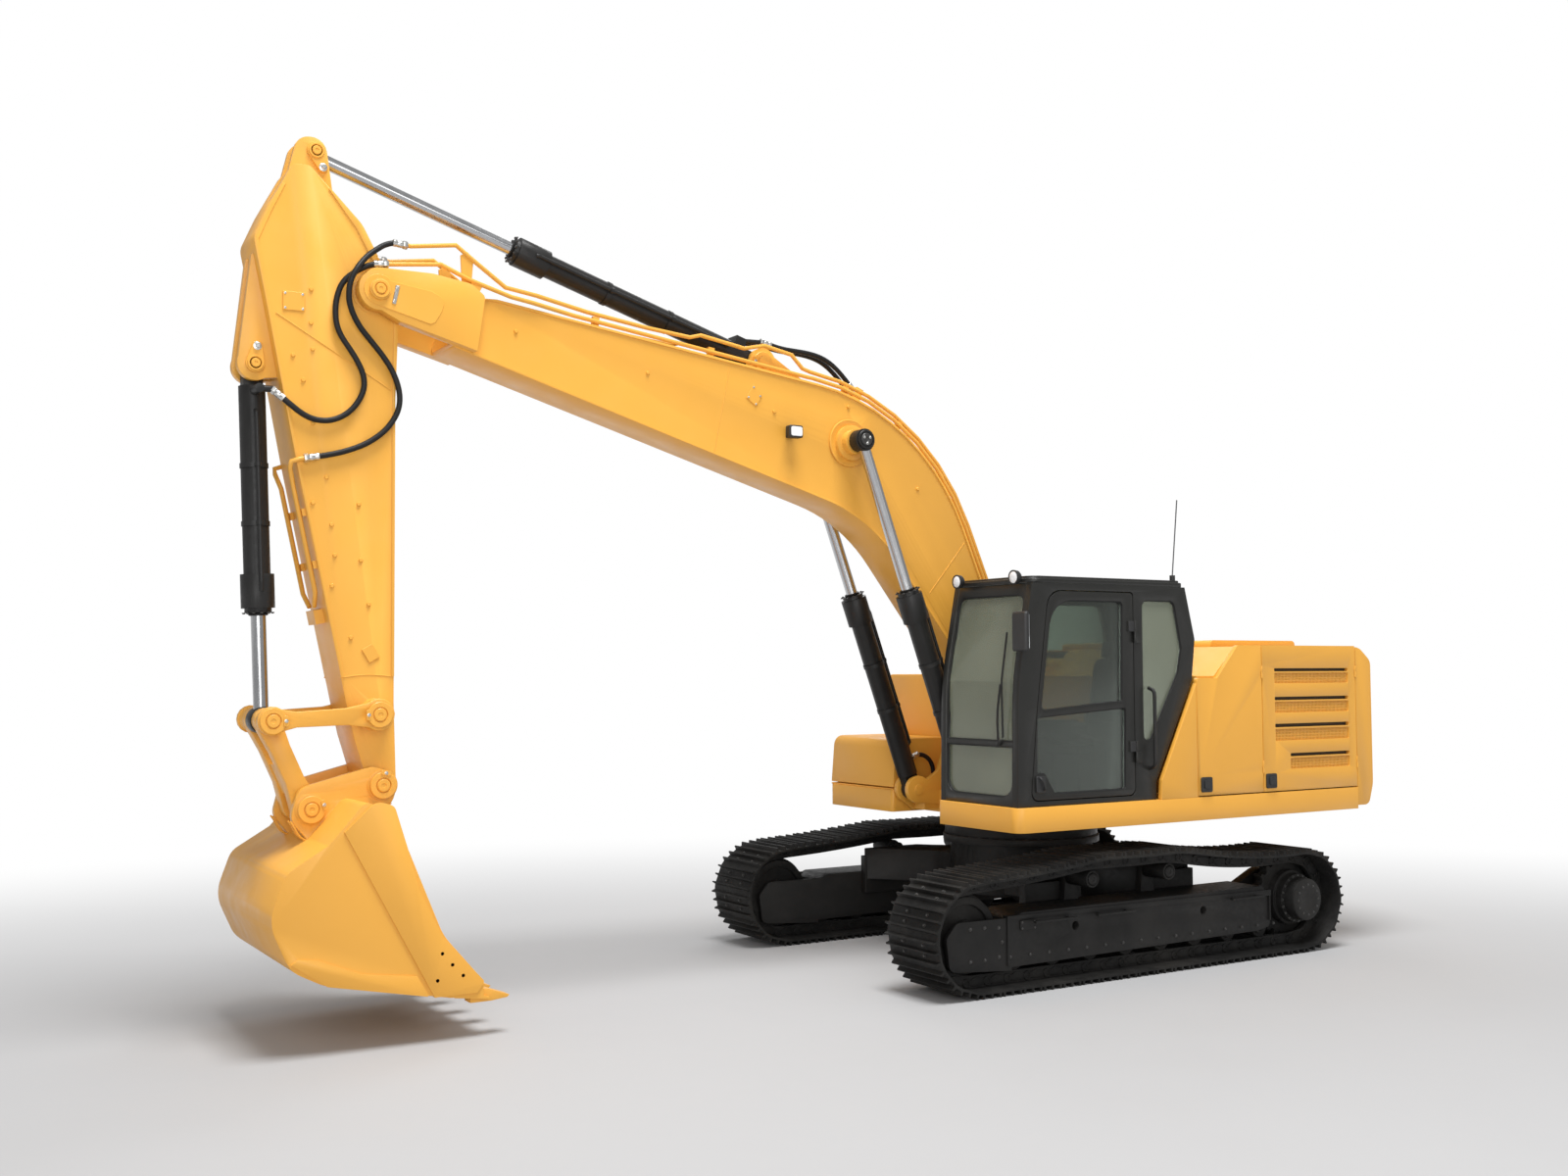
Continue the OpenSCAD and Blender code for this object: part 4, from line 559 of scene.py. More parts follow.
def dressNode(node, ease):
    mesh = nodes[node].data.copy()
    bm = bmesh.new()
    bm.from_mesh(mesh)
    bmesh.ops.remove_doubles(bm, verts=bm.verts, dist=easeFacts["weld"])
    flat = math.radians(easeFacts["flat"])
    bmesh.ops.dissolve_limit(bm, angle_limit=flat, verts=bm.verts, edges=bm.edges)
    bm.to_mesh(mesh)
    bm.free()
    mesh.polygons.foreach_set("use_smooth", np.ones(len(mesh.polygons), bool))
    if not ease:
        mesh.set_sharp_from_angle(angle=math.radians(easeFacts["crease"]))
    piece = bpy.data.objects.new(node + "Skin", mesh)
    bpy.context.scene.collection.objects.link(piece)
    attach(piece, bodyOf[node])
    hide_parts(node)
    if ease:
        edge = piece.modifiers.new("easedEdge", "BEVEL")
        edge.width = ease * 0.001
        edge.segments = easeFacts["segments"]
        edge.limit_method = "ANGLE"
        edge.angle_limit = math.radians(easeFacts["edge"])
        edge.use_clamp_overlap = True
        edge.harden_normals = True
    return piece


def perFace(mesh, key):
    values = np.empty(len(mesh.polygons) * 3)
    mesh.polygons.foreach_get(key, values)
    return values.reshape(-1, 3)


def paintFaces(mesh, material, chosen):
    mesh.materials.append(material)
    mesh.polygons.foreach_set("material_index", chosen.astype(np.int32))


skins = {node: dressNode(node, ease) for node, ease in skinFacts.items()}
# rod eyes are black, the rods themselves chrome
rodEyes = {"boom_cylinder_rods": boomEye, "stick_cylinder_rod": stickTop, "bucket_cylinder_rod": linkTop}
eyeReach = 135
for node, eye in rodEyes.items():
    mesh = skins[node].data
    middles = toMachine(perFace(mesh, "center"))
    paintFaces(mesh, black, np.hypot(middles[:, 0] - eye[0], middles[:, 2] - eye[1]) < eyeReach)
# inner faces of the cab have a grey lining, found by the axis and the way that they face
liningFaces = {"cab_left_wall": (1, -1), "cab_right_wall": (1, 1), "cab_front": (0, -1),
               "cab_rear_wall": (0, 1), "cab_roof": (2, -1), "cab_floor": (2, 1)}
for node, (axis, sign) in liningFaces.items():
    mesh = skins[node].data
    paintFaces(mesh, lining, perFace(mesh, "normal")[:, axis] * sign > 0.8)
print("skins made:", len(skins))


# pin ends: body, pin, face of the plate, pin radius, collar radius, finish, angle of the keeper bar
pinFacts = [
    ("boom", nose, 331, 34, 62, yellow, None), ("stick", stickTop, 132, 30, 52, yellow, None),
    ("stick", bucketEye, 128, 30, 52, yellow, None), ("stick", rockerPin, 324, 42, 84, yellow, 0),
    ("rocker", linkTop, 322, 42, 84, yellow, 180), ("bucket", linkLow, 283, 42, 88, yellow, 160),
    ("stick", bucketPin, 285, 42, 88, yellow, 100), ("boom", stickCylBase, 108, 38, 82, yellow, 0),
    ("boom_cylinder_rods", boomEye, 454, 50, 76, black, 90),
    ("upper_frame", boomCylBase, 470, 40, 74, yellow, -60), ("upper_frame", foot, 350, 56, 96, yellow, 60)]
keeperBar = {"lo": (-16, 0, -34), "hi": (16, 9, 34), "corner": 10, "lift": 10, "inset": 6}


def barAt(seat, side, deg):
    # keeper bar turned about its pin and set on its seat
    bar, faces = roundedBox(keeperBar["lo"], keeperBar["hi"], keeperBar["corner"])
    x, y, z = bar.T
    c, s = cosSin(deg)
    return np.stack([x * c - z * s, y * side, x * s + z * c], -1) + seat, faces


def pinEnds():
    store = {}
    for body, pin, y, r, outer, color, turn in pinFacts:
        rims, faces, heads = store.setdefault((body, color), ([], [], []))
        collar = [(0, outer), (8, outer), (12, outer - 4), (12, r + 10), (9, r + 7), (2, r + 6)]
        pinFace = [(0, r), (13, r), (17, r - 4), (17, r * 0.4), (13, r * 0.33), (13, 2)]
        for side in (-1, 1):
            axis = across(side)
            start = np.array([pin[0], side * (y - 6), pin[1]])
            rims.append(lathe(collar, start, axis, 40))
            (rims if color is yellow else faces).append(lathe(pinFace, start, axis, 36))
            if turn is None:
                continue
            if color is yellow:
                arm = turned((outer - keeperBar["inset"], 0), turn)
                seat = start + np.array([arm[0], side * keeperBar["lift"], arm[1]])
                rims.append(barAt(seat, side, turn))
                heads.append(copies(boltHead(9), [seat + keeperBar["hi"][1] * axis], axis))
            else:
                # three bolts in the pin's own face
                ring = r * 0.62
                spots = [[ring * math.cos(q), side * 17, ring * math.sin(q)] for q in (0.5, 2.6, 4.7)]
                heads.append(copies(boltHead(8), start + np.array(spots), axis))
    for (body, color), (rims, faces, heads) in store.items():
        putPiece("pinCollars_" + body, rims, color, body)
        if faces:
            putPiece("pinFaces_" + body, faces, pinSteel, body)
        if heads:
            putPiece("pinBolts_" + body, heads, zinc, body)


# long keepers: pin, face of the ear, angle towards the bolt, reach
keeperFacts = [(stickTop, 112, -112, 116), (bucketEye, 108, 95, 112)]
keeperShape = {"big": 62, "small": 34, "sunk": 2, "thick": 16, "bevel": 4, "washer": 5}


def keeperPlates():
    plates, heads = [], []
    big, small, thick = keeperShape["big"], keeperShape["small"], keeperShape["thick"]
    a = np.radians(np.linspace(90, 270, 15))
    for pin, y, turn, reach in keeperFacts:
        bigEnd = np.stack([big * np.cos(a), big * np.sin(a)], -1)
        smallEnd = np.stack([reach - small * np.cos(a), -small * np.sin(a)], -1)
        outline = np.array([pin + turned(q, turn) for q in np.vstack([bigEnd, smallEnd])])
        seat = pin + turned((reach, 0), turn)
        for side in (-1, 1):
            axis = across(side)
            plates.append(sidePlate(outline, side, y - keeperShape["sunk"], y + thick, keeperShape["bevel"]))
            top = np.array([seat[0], side * (y + thick), seat[1]])
            heads.append(lathe([(0, 27), (5, 27), (6, 25), (6, 4)], top, axis, 24))
            heads.append(copies(boltHead(17), [top + keeperShape["washer"] * axis], axis))
    putPiece("pinKeepers_stick", plates, yellow, "stick")
    putPiece("keeperBolts_stick", heads, zinc, "stick")


pinEnds()
keeperPlates()
print("pins made")


# tracks: link plates, pin bosses and shoe bolts on the same pin line as the solids
trackFacts = {
    "shoes": 48, "idler": 1720, "sprocket": -1740, "wrap": 340, "axle": 427, "crown": 868,
    "carriers": (490, -320), "sag": (14, 8, 45), "y": 1295, "railFace": 118,
    "boltLift": 54, "boltAt": (0.3, 0.7), "boltY": (120, -120),
    "boss": [(-4, 34), (9, 34), (12, 31), (12, 20), (7, 18), (7, 3)], "plateReach": 0.66,
    "plate": [(-1.0, 17), (-0.62, 26), (0.62, 26), (1.0, 17), (1.0, -17), (0.62, -30), (0.25, -38),
              (-0.25, -38), (-0.62, -30), (-1.0, -17)],
    "plateRims": ((1, -3), (1, 4), (0.9, 7))}


def pinLine(facts):
    # arc round the idler, sagging top run over two carriers, arc round the sprocket, flat run below
    idler, sprocket, axle, wrap, crown = (facts[k] for k in ("idler", "sprocket", "axle", "wrap", "crown"))
    ca, cb = facts["carriers"]
    drops = facts["sag"]
    top = axle + wrap

    def sag(x, a, b, za, zb, drop):
        t = (x - a) / (b - a)
        return za + (zb - za) * t - 4 * drop * t * (1 - t)

    def arc(middle, first, last):
        a = np.radians(np.arange(first, last, 2))
        return np.stack([middle + wrap * np.cos(a), axle + wrap * np.sin(a)], -1)
    x = np.linspace(idler, sprocket, 101)
    run = np.where(x > cb, sag(x, ca, cb, crown, crown, drops[1]), sag(x, cb, sprocket, crown, top, drops[2]))
    run = np.where(x > ca, sag(x, idler, ca, top, crown, drops[0]), run)
    line = np.vstack([arc(idler, -90, 89), np.stack([x, run], -1), arc(sprocket, 92, 271)])
    # cut into even links
    loop = np.vstack([line, line[:1]])
    s = np.concatenate([[0], np.cumsum(np.linalg.norm(np.diff(loop, axis=0), axis=1))])
    even = s[-1] * np.arange(facts["shoes"]) / facts["shoes"]
    return np.stack([np.interp(even, s, loop[:, k]) for k in (0, 1)], -1)


def trackDetail(facts):
    pins = pinLine(facts)
    pitch = np.roll(pins, -1, 0) - pins
    along = pitch / np.linalg.norm(pitch, axis=1, keepdims=True)
    out = np.stack([along[:, 1], -along[:, 0]], -1)
    mid = (pins + np.roll(pins, -1, 0)) / 2
    half = np.linalg.norm(pitch, axis=1)[:, None, None] / 2
    boss = lathe(facts["boss"], zero, upward, 16)
    links, bolts = [], []
    for side in (-1, 1):
        for rail in (-1, 1):
            # round boss with a sunk pin on the outer face of each rail
            y = side * facts["y"] + rail * facts["railFace"]
            links.append(copies(boss, plain(pins[:, 0], y, pins[:, 1]), across(rail)))
            # flat link plate between bosses, standing out from the rail
            rows = []
            for shrink, lift in facts["plateRims"]:
                q = (np.array(facts["plate"]) * np.array([facts["plateReach"], shrink]))[None]
                p = mid[:, None] + (q[..., 0:1] * half) * along[:, None] + q[..., 1:2] * out[:, None]
                rows.append(plain(p[..., 0], y + rail * lift, p[..., 1]))
            links += [ringPart(rings) for rings in np.stack(rows, 1)]
        for t in facts["boltAt"]:
            for y in facts["boltY"]:
                p = pins + pitch * t + out * facts["boltLift"]
                places = plain(p[:, 0], side * facts["y"] + y, p[:, 1])
                bolts.append(copies(boltHead(12), places, plain(out[:, 0], 0, out[:, 1])))
    putPiece("trackLinks", links, trackSteel, "undercarriage")
    putPiece("shoeBolts", bolts, pinSteel, "undercarriage")


trackDetail(trackFacts)
print("tracks dressed")


# undercarriage: hub covers with bolt rings, roller caps, frame bolts
underFacts = {
    "hub": 175, "cover": 268, "cap": 119, "wall": 1480, "rollers": np.linspace(1270, -1330, 8),
    "rollerZ": 225.3, "carrierZ": 740, "boltGap": 95, "boltZ": 250,
    "yokeBolts": [(1470, 260), (1600, 250), (1730, 250), (1470, 470), (1600, 480), (1730, 480), (1440, 365)],
    "coverScrews": [(1135, 445), (1255, 445), (1135, 490), (1255, 490)],
    "hubShape": [(0, 168), (6, 168), (14, 150), (16, 90), (12, 80), (12, 4)],
    "rollerShape": [(-2, 62), (10, 60), (16, 46), (16, 20), (12, 16), (12, 3)],
    "carrierShape": [(-18, 44), (2, 44), (8, 36), (8, 16), (4, 13), (4, 3)]}


def undercarriageDetail(facts, track):
    parts, heads = [], []
    gap, low = facts["boltGap"], facts["boltZ"]
    for side in (-1, 1):
        axis = across(side)
        wall = side * facts["wall"]
        capY = side * (track["y"] + facts["cap"])
        hub, cover = (np.array([track["sprocket"], side * (track["y"] + facts[k]), track["axle"]], float)
                      for k in ("hub", "cover"))
        heads.append(boltCircle(10, 20, 187, hub, axis))
        parts.append(lathe(facts["hubShape"], cover, axis, 48))
        heads.append(boltCircle(8, 12, 122, cover + 14 * axis, axis))
        for x in facts["rollers"]:
            parts.append(lathe(facts["rollerShape"], (x, capY, facts["rollerZ"]), axis, 28))
            heads.append(copies(boltHead(10), [(x - gap, wall, low), (x + gap, wall, low)], axis))
        for x in track["carriers"]:
            parts.append(lathe(facts["carrierShape"], (x, capY, facts["carrierZ"]), axis, 28))
        heads.append(copies(boltHead(11), [(x, wall, z) for x, z in facts["yokeBolts"]], axis))
        # cover of the track adjuster
        parts.append(roundedBox((1120, wall - 4, 430), (1270, wall + 10, 505), 14))
        heads.append(copies(boltHead(7), [(x, wall + side * 10, z) for x, z in facts["coverScrews"]], axis))
    heads.append(boltCircle(14, 40, 630, (0, 0, 950), upward))
    putPiece("undercarriageCaps", parts, frameBlack, "undercarriage")
    putPiece("undercarriageBolts", heads, pinSteel, "undercarriage")


undercarriageDetail(underFacts, trackFacts)
print("undercarriage dressed")


# boom: weld lines, studs, cover plates and the work lamp, in the boom's own frame
boomFacts = {
    "face": 205.5,
    "seams": [[(3638, 1064), (3545, 740), (3455, 424)], [(1080, 1000), (1140, 730), (1204, 455)]],
    "studs": [(3149, 974), (2586, 1381), (4200, 640), (1700, 1150), (5200, 330)],
    "cover": [(3407, 1063), (3297, 1025), (3303, 921), (3410, 934)],
    "coverScrews": ([3392, 3312, 3316, 3396], [1040, 1010, 935, 948]),
    "doublerRear": [(5850, 196), (5780, 200), (5738, 168), (5726, 110), (5730, 20), (5752, -8)],
    "doublerRound": 104, "keeper": [(6076, 88), (6050, 98), (6014, -26), (6040, -34)],
    "keeperScrews": ([6057, 6033], [78, -14]),
    "fingers": [([(5610, 300), (5640, 430), (5600, 470), (5560, 462), (5560, 320)], 231, 249),
                ([(5690, 395), (5790, 560), (5760, 610), (5700, 590), (5620, 405)], 217, 231)],
    "padWeld": [(-4, 190), (3, 187), (5, 182), (3, 178)], "lamp": (2959, 205, 897)}
# stick: the same kinds of detail in the stick's own frame
stickFacts = {
    "face": 190.5,
    "seams": [([(2560, 252), (2545, 80), (2560, -100)], 4), ([(196, 645), (411, 285), (647, -107)], 5)],
    "studs": [(20, 420), (242, 424), (414, 413), (463, 540), (622, 475), (900, 417), (1250, 330), (1420, 420),
              (1420, 120), (1560, 300), (1760, 280), (1790, 110), (1960, 300), (2080, 60), (2300, 180)],
    "cover": [(48, 462), (172, 462), (172, 602), (48, 602)],
    "coverScrews": ([62, 158, 158, 62], [476, 476, 588, 588]),
    "pad": [(2340, 40), (2430, -10), (2470, 60), (2380, 112)]}


def bead(points, where, y, r):
    # round weld run, half sunk in a side face
    p = np.asarray(points, float)
    return bentBar(where(p[:, 0], y, p[:, 1]), 30, r, 8)


def stud(place, axis, height):
    return lathe([(-3, 15), (height - 3, 14), (height, 11), (height, 3)], place, axis, 16)


def boomDetail(facts):
    seams, studs, heads = [], [], []
    face, r = facts["face"], facts["doublerRound"]
    # weld along the top plate, which falls towards the nose
    run = np.linspace(5300, 2960, 10)
    topLine = np.stack([run, 1369 - 0.374 * (run - 2957) - 15], -1)
    a = np.radians(np.linspace(-105, 112, 20))
    roundEnd = np.stack([link["boomLen"] + r * np.cos(a), r * np.sin(a)], -1)
    doubler = np.vstack([roundEnd, facts["doublerRear"]])
    screwU, screwV = facts["coverScrews"]
    keeperU, keeperV = facts["keeperScrews"]
    for side in (-1, 1):
        axis = across(side)
        seams += [bead(line, onBoom, side * face, 3.2) for line in facts["seams"]]
        seams.append(bead(topLine, onBoom, side * face, 6))
        # weld round the pad of the boom cylinders' pin
        seams.append(lathe(facts["padWeld"], onBoom(2446, side * 219, 1124), axis, 56))
        studs += [stud(onBoom(u, side * 206, v), axis, 12) for u, v in facts["studs"]]
        # small cover plate with four screws
        studs.append(sidePlate(facts["cover"], side, face, face + 7, 2.5, onBoom))
        heads.append(copies(boltHead(6), onBoom(screwU, side * 213, screwV), axis))
        # doubler round the stick pin and the keeper bar beside it
        studs.append(sidePlate(doubler, side, 293, 301, 3, onBoom))
        heads.append(sidePlate(facts["keeper"], side, 299, 309, 3, onBoom))
        heads.append(copies(boltHead(8), onBoom(keeperU, side * 309, keeperV), axis))
        # finger brackets that carry the pipes on the nose
        studs += [sidePlate(line, side, near, far, 3, onBoom) for line, near, far in facts["fingers"]]
    putPiece("boomWelds", seams, yellow, "boom")
    putPiece("boomStuds", studs, yellow, "boom")
    putPiece("boomScrews", heads, zinc, "boom")
    x, _, z = onBoom(*facts["lamp"])

    def lampBox(half, y0, y1, below, above, corner):
        return roundedBox((x - half, y0, z - below), (x + half, y1, z + above), corner)
    shell = [lampBox(62, 252, 322, 48, 48, 16), lampBox(30, 206, 256, 40, 10, 8)]
    lamp = putPiece("boomWorkLamp", shell, plastic, "boom")
    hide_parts("boom_lamp")
    putPiece("boomLampLens", [lampBox(50, 318, 327, 36, 36, 14)], lensWhite, "boom")


def stickDetail(facts):
    parts, heads = [], []
    face = facts["face"]
    screwU, screwV = facts["coverScrews"]
    for side in (-1, 1):
        axis = across(side)
        parts += [bead(line, onStick, side * face, r) for line, r in facts["seams"]]
        parts += [stud(onStick(u, side * 191, v), axis, 11) for u, v in facts["studs"]]
        parts.append(sidePlate(facts["cover"], side, face, face + 8, 3, onStick))
        heads.append(copies(boltHead(6), onStick(screwU, side * 199, screwV), axis))
        parts.append(sidePlate(facts["pad"], side, face, face + 10, 3, onStick))
    putPiece("stickStuds", parts, yellow, "stick")
    putPiece("stickScrews", heads, zinc, "stick")


boomDetail(boomFacts)
stickDetail(stickFacts)
print("boom and stick dressed")


# bucket: bolts of the side bars, welds on the sides and at the ears, from the bucket pin
bucketFacts = {
    "bolts": [(-241, -1041), (-308, -1117), (-379, -1191), (-211, -1207)], "boltFace": 742, "wall": 731,
    "sideWeld": [(386, -248), (100, -760), (-190, -1296)],
    "earWeld": [(590, -205), (480, -333), (180, -303), (-60, -118)], "earFaces": (199, 256)}


def bucketDetail(facts):
    heads, welds = [], []
    x, z = zip(*facts["bolts"])
    for side in (-1, 1):
        heads.append(copies(boltHead(15), onBucket(x, side * facts["boltFace"], z), across(side)))
        welds.append(bead(facts["sideWeld"], onBucket, side * facts["wall"], 5))
        welds += [bead(facts["earWeld"], onBucket, side * inner, 6) for inner in facts["earFaces"]]
    putPiece("bucketBolts", heads, pinSteel, "bucket")
    putPiece("bucketWelds", welds, yellow, "bucket")


bucketDetail(bucketFacts)
print("bucket dressed")


# cylinders: body, base pin, rod pin, distances across, barrel length, start and end of the oil pipe
cylinders = [
    ("boom_cylinder_barrels", boomCylBase, boomEye, (390, -390), 1741, (350, 1600)),
    ("stick_cylinder_barrel", stickCylBase, stickTop, (0,), 2124, (330, 1980)),
    ("bucket_cylinder_barrel", bucketEye, linkTop, (0,), 1609, (300, 1480))]
cylinderFacts = {"radius": 84, "boltRing": 92, "bolts": 12, "pipe": 14, "clampAt": (0.3, 0.62),
                 "wiper": [(-10, 49), (0, 60), (14, 62), (18, 50)]}


def cylinderDetail(facts):
    r = facts["radius"]
    ring = evenAngles(facts["bolts"])[:, None]
    band = [(-16, r - 3), (-16, r + 6), (16, r + 6), (16, r - 3)]
    for body, base, top, offsets, length, (low, high) in cylinders:
        d = (top - base) / np.linalg.norm(top - base)
        along = np.array([d[0], 0, d[1]])
        up = np.array([-d[1], 0, d[0]])
        # the oil pipe lies behind the boom cylinders and on the left of the others
        way = up if body == "boom_cylinder_barrels" else across(1)
        bends = [(low, -6), (low + 40, 30), (low + 110, 32), (high - 150, 32), (high - 60, 32),
                 (high - 10, 22)]
        around = facts["boltRing"] * (np.cos(ring) * up + np.sin(ring) * across(1))
        pipes, heads, bands = [], [], []
        for y in offsets:
            start = np.array([base[0], y, base[1]])
            heads.append(copies(boltHead(9), start + along * (length - 2) + around, along))
            route = [start + along * s + way * (r + lift) for s, lift in bends]
            pipes.append(bentBar(route, 25, facts["pipe"], 12))
            for t in facts["clampAt"]:
                at = start + along * (low + t * (high - low))
                bands.append(hoop(band, at, along, 40))
                bands.append(lathe([(-13, 21), (13, 21)], at + way * (r + 30), along, 16))
            bands.append(hoop(facts["wiper"], start + along * (length + 2), along, 40))
        putPiece(body + "Pipes", pipes + bands, black, body)
        putPiece(body + "Bolts", heads, pinSteel, body)


cylinderDetail(cylinderFacts)
print("cylinders dressed")


# cab: seals round the glass, wiper, rail, handle, lamps, mirror; an outline's third value rounds its corner
cabFacts = {"front": 1240, "y0": 508, "y1": 1445, "top": 3045, "roofFront": 1090, "sideGlass": 14,
            "frontGlass": 16, "hinges": (1610, 2545), "lampIn": 125}
doorUp = [(1008, 2025, 40), (885, 2866, 230), (165, 2866, 40), (180, 2085, 30)]
doorLow = [(1052, 1556, 25), (1044, 1982, 25), (145, 2042, 25), (158, 1405, 40), (880, 1405, 30),
           (975, 1556, 30)]
quarter = [(-40, 1640, 50), (-40, 2880, 60), (-390, 2880, 60), (-470, 2500, 40), (-430, 2310, 60)]
shieldUp = [(583, 1800, 14), (1370, 1800, 14), (1370, 2905, 80), (583, 2905, 80)]
shieldLow = [(583, 1385, 120), (1370, 1385, 120), (1370, 1765, 14), (583, 1765, 14)]
lampShape = {"shell": [(0, 24), (4, 38), (22, 51), (50, 55), (60, 55), (60, 47), (52, 46)],
             "foot": [(-12, 16), (4, 18)], "lens": [(50, 47), (57, 45), (62, 36), (65, 20), (66, 3)]}


def roundLine(points, n=6):
    # every corner drawn as an arc of its radius
    p = [np.array(q[:2], float) for q in points]
    out = []
    for i, (_, _, r) in enumerate(points):
        a, b = p[i - 1] - p[i], p[(i + 1) % len(p)] - p[i]
        a, b = a / np.linalg.norm(a), b / np.linalg.norm(b)
        half = math.acos(np.clip(np.dot(a, b), -1, 1)) / 2
        c = p[i] + (a + b) / np.linalg.norm(a + b) * r / math.sin(half)
        s, e = p[i] + a * r / math.tan(half) - c, p[i] + b * r / math.tan(half) - c
        sa = math.atan2(s[1], s[0])
        da = (math.atan2(e[1], e[0]) - sa + math.pi) % (2 * math.pi) - math.pi
        t = sa + da * np.linspace(0, 1, n + 1)
        out.append(c + r * np.stack([np.cos(t), np.sin(t)], -1))
    return np.vstack(out)


def frontX(z):
    # front face of the cab leans back above its middle
    front = cabFacts["front"]
    return np.interp(z, [1315, 2250, 2990], [front, front - 15, front - 160])


def onSide(line):
    return plain(line[:, 0], cabFacts["y1"] - cabFacts["sideGlass"], line[:, 1])


def onFront(line):
    return np.stack([frontX(line[:, 1]) - cabFacts["frontGlass"], line[:, 0], line[:, 1]], -1)


def sealRing(outline, r, where, through):
    # rubber bead that follows the rim of a pane, a little flat in the way through it
    pts = where(roundLine(outline))
    d = np.roll(pts, -1, 0) - np.roll(pts, 1, 0)
    d /= np.linalg.norm(d, axis=1, keepdims=True)
    side = np.cross(d, through)
    side /= np.linalg.norm(side, axis=1, keepdims=True)
    return loopPart(pts[:, None] + r * circle(8, side, 0.7 * np.asarray(through, float)))


def cabDetail():
    y1 = cabFacts["y1"]
    doorRims = [sealRing(line, 9, onSide, across(1)) for line in (doorUp, doorLow)]
    putPiece("doorSeals", doorRims, seal, "cab_door")
    rims = [sealRing(quarter, 9, onSide, across(1))]
    rims += [sealRing(line, 10, onFront, ahead) for line in (shieldUp, shieldLow)]
    putPiece("cabSeals", rims, seal, "upper_frame")
    # wiper: blade, arm and its pivot in front of the windshield
    zs = np.linspace(1830, 2620, 12)
    blade = np.stack([frontX(zs) + 16, 1285 - (zs - 1830) * 0.04, zs], -1)
    arm = [(frontX(z) + lift, y, z) for lift, y, z in ((16, 1230, 1790), (28, 1236, 2000), (26, 1268, 2230))]
    pivot = lathe([(-30, 24), (0, 24), (14, 20), (20, 10)], (frontX(1790) + 4, 1230, 1790), ahead, 20)
    # grab rail behind the door
    rail = [(-95, y1 + out, z) for out, z in (
        (2, 1560), (60, 1590), (66, 1700), (66, 2050), (60, 2160), (2, 2190))]
    fittings = [tube(blade, 8, 8), bentBar(arm, 30, 9, 8), pivot, bentBar(rail, 25, 15, 12)]
    putPiece("cabFittings", fittings, black, "upper_frame")
    # door handle with its bow, and the hinge covers
    bow = [(x, y1 + out, z) for x, out, z in (
        (1004, 16, 1440), (1006, 34, 1452), (1018, 36, 1485), (1038, 34, 1520), (1046, 16, 1532))]
    handle = [roundedBox((985, y1 - 2, 1420), (1075, y1 + 18, 1545), 18), bentBar(bow, 8, 8, 10)]
    handle += [roundedBox((62, y1 + 1, z + 86), (118, y1 + 18, z + 166), 8) for z in cabFacts["hinges"]]
    putPiece("doorHandle", handle, plastic, "cab_door")
    # lamps: turned shell, rim and lens, as round as the solids that they replace
    shells, lenses = [], []
    for y in (cabFacts["y0"] + cabFacts["lampIn"], y1 - cabFacts["lampIn"]):
        c = (cabFacts["roofFront"] + 12, y, cabFacts["top"] - 12)
        shells += [lathe(lampShape["shell"], c, ahead, 36), lathe(lampShape["foot"], c, ahead, 16)]
        lenses.append(lathe(lampShape["lens"], c, ahead, 36))
    lamps = putPiece("roofLamps", shells, plastic, "upper_frame")
    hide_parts("cab_lamps")
    putPiece("roofLampLenses", lenses, lensWhite, "upper_frame")
    # mirror: shell on two arms with a bright face towards the seat
    back = roundedBox((1217, y1 - 33, 2472), (1260, y1 + 128, 2768), 20)
    arms = [bentBar([(1158, y1 - 20, 2620), (1180, y1 - 12, 2622), (1222, y1 + 10, 2624)], 8, 11, 12),
            bentBar([(1145, y1 - 20, 2680), (1180, y1 - 6, 2690), (1222, y1 + 14, 2700)], 8, 8, 10)]
    shell = putPiece("mirrorShell", [back] + arms, plastic, "upper_frame")
    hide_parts("side_mirror")
    rim = roundLine([(y1 + out, z, 18) for out, z in ((-22, 2484), (117, 2484), (117, 2756), (-22, 2756))])
    face = ringPart(np.stack([np.insert(rim, 0, x, axis=1) for x in (1216, 1213)]))
    putPiece("mirrorFace", [face], mirrorFace, "upper_frame")


# cushions: squareness of the plan, waist of the sides, roundness of rim and top, sewn channels
padFacts = {"square": 0.42, "waist": 0.06, "rim": 0.45, "top": 0.75, "seamDeep": 5, "seamWide": 7,
            "seamAt": 0.18}


def pad(center, size, crown, lean):
    # closed cushion: superellipse in plan, its thickness swelling to the middle
    def bulge(value, power):
        return np.sign(value) * np.abs(value) ** power
    t = np.linspace(0, 2 * np.pi, 48, endpoint=False)
    ring = np.stack([bulge(np.cos(t), padFacts["square"]), bulge(np.sin(t), padFacts["square"])], -1)
    ring *= (1 - padFacts["waist"] * np.cos(2 * t) ** 2)[:, None]
    f = np.radians(np.linspace(-88, 88, 17))[:, None]
    w = np.cos(f) ** padFacts["rim"]
    x = ring[None, :, 0] * w * size[0] / 2
    y = ring[None, :, 1] * w * size[1] / 2
    z = bulge(np.sin(f), padFacts["top"]) * (size[2] / 2 + crown * (1 - w))
    # sewn channels run across the pad
    offSeam = (np.abs(x) - size[0] * padFacts["seamAt"]) / padFacts["seamWide"]
    z = z - np.sign(z) * padFacts["seamDeep"] * np.exp(-offSeam ** 2)
    c, s = cosSin(lean)
    return ringPart(np.stack([x * c - z * s, y, x * s + z * c], -1) + np.asarray(center, float))


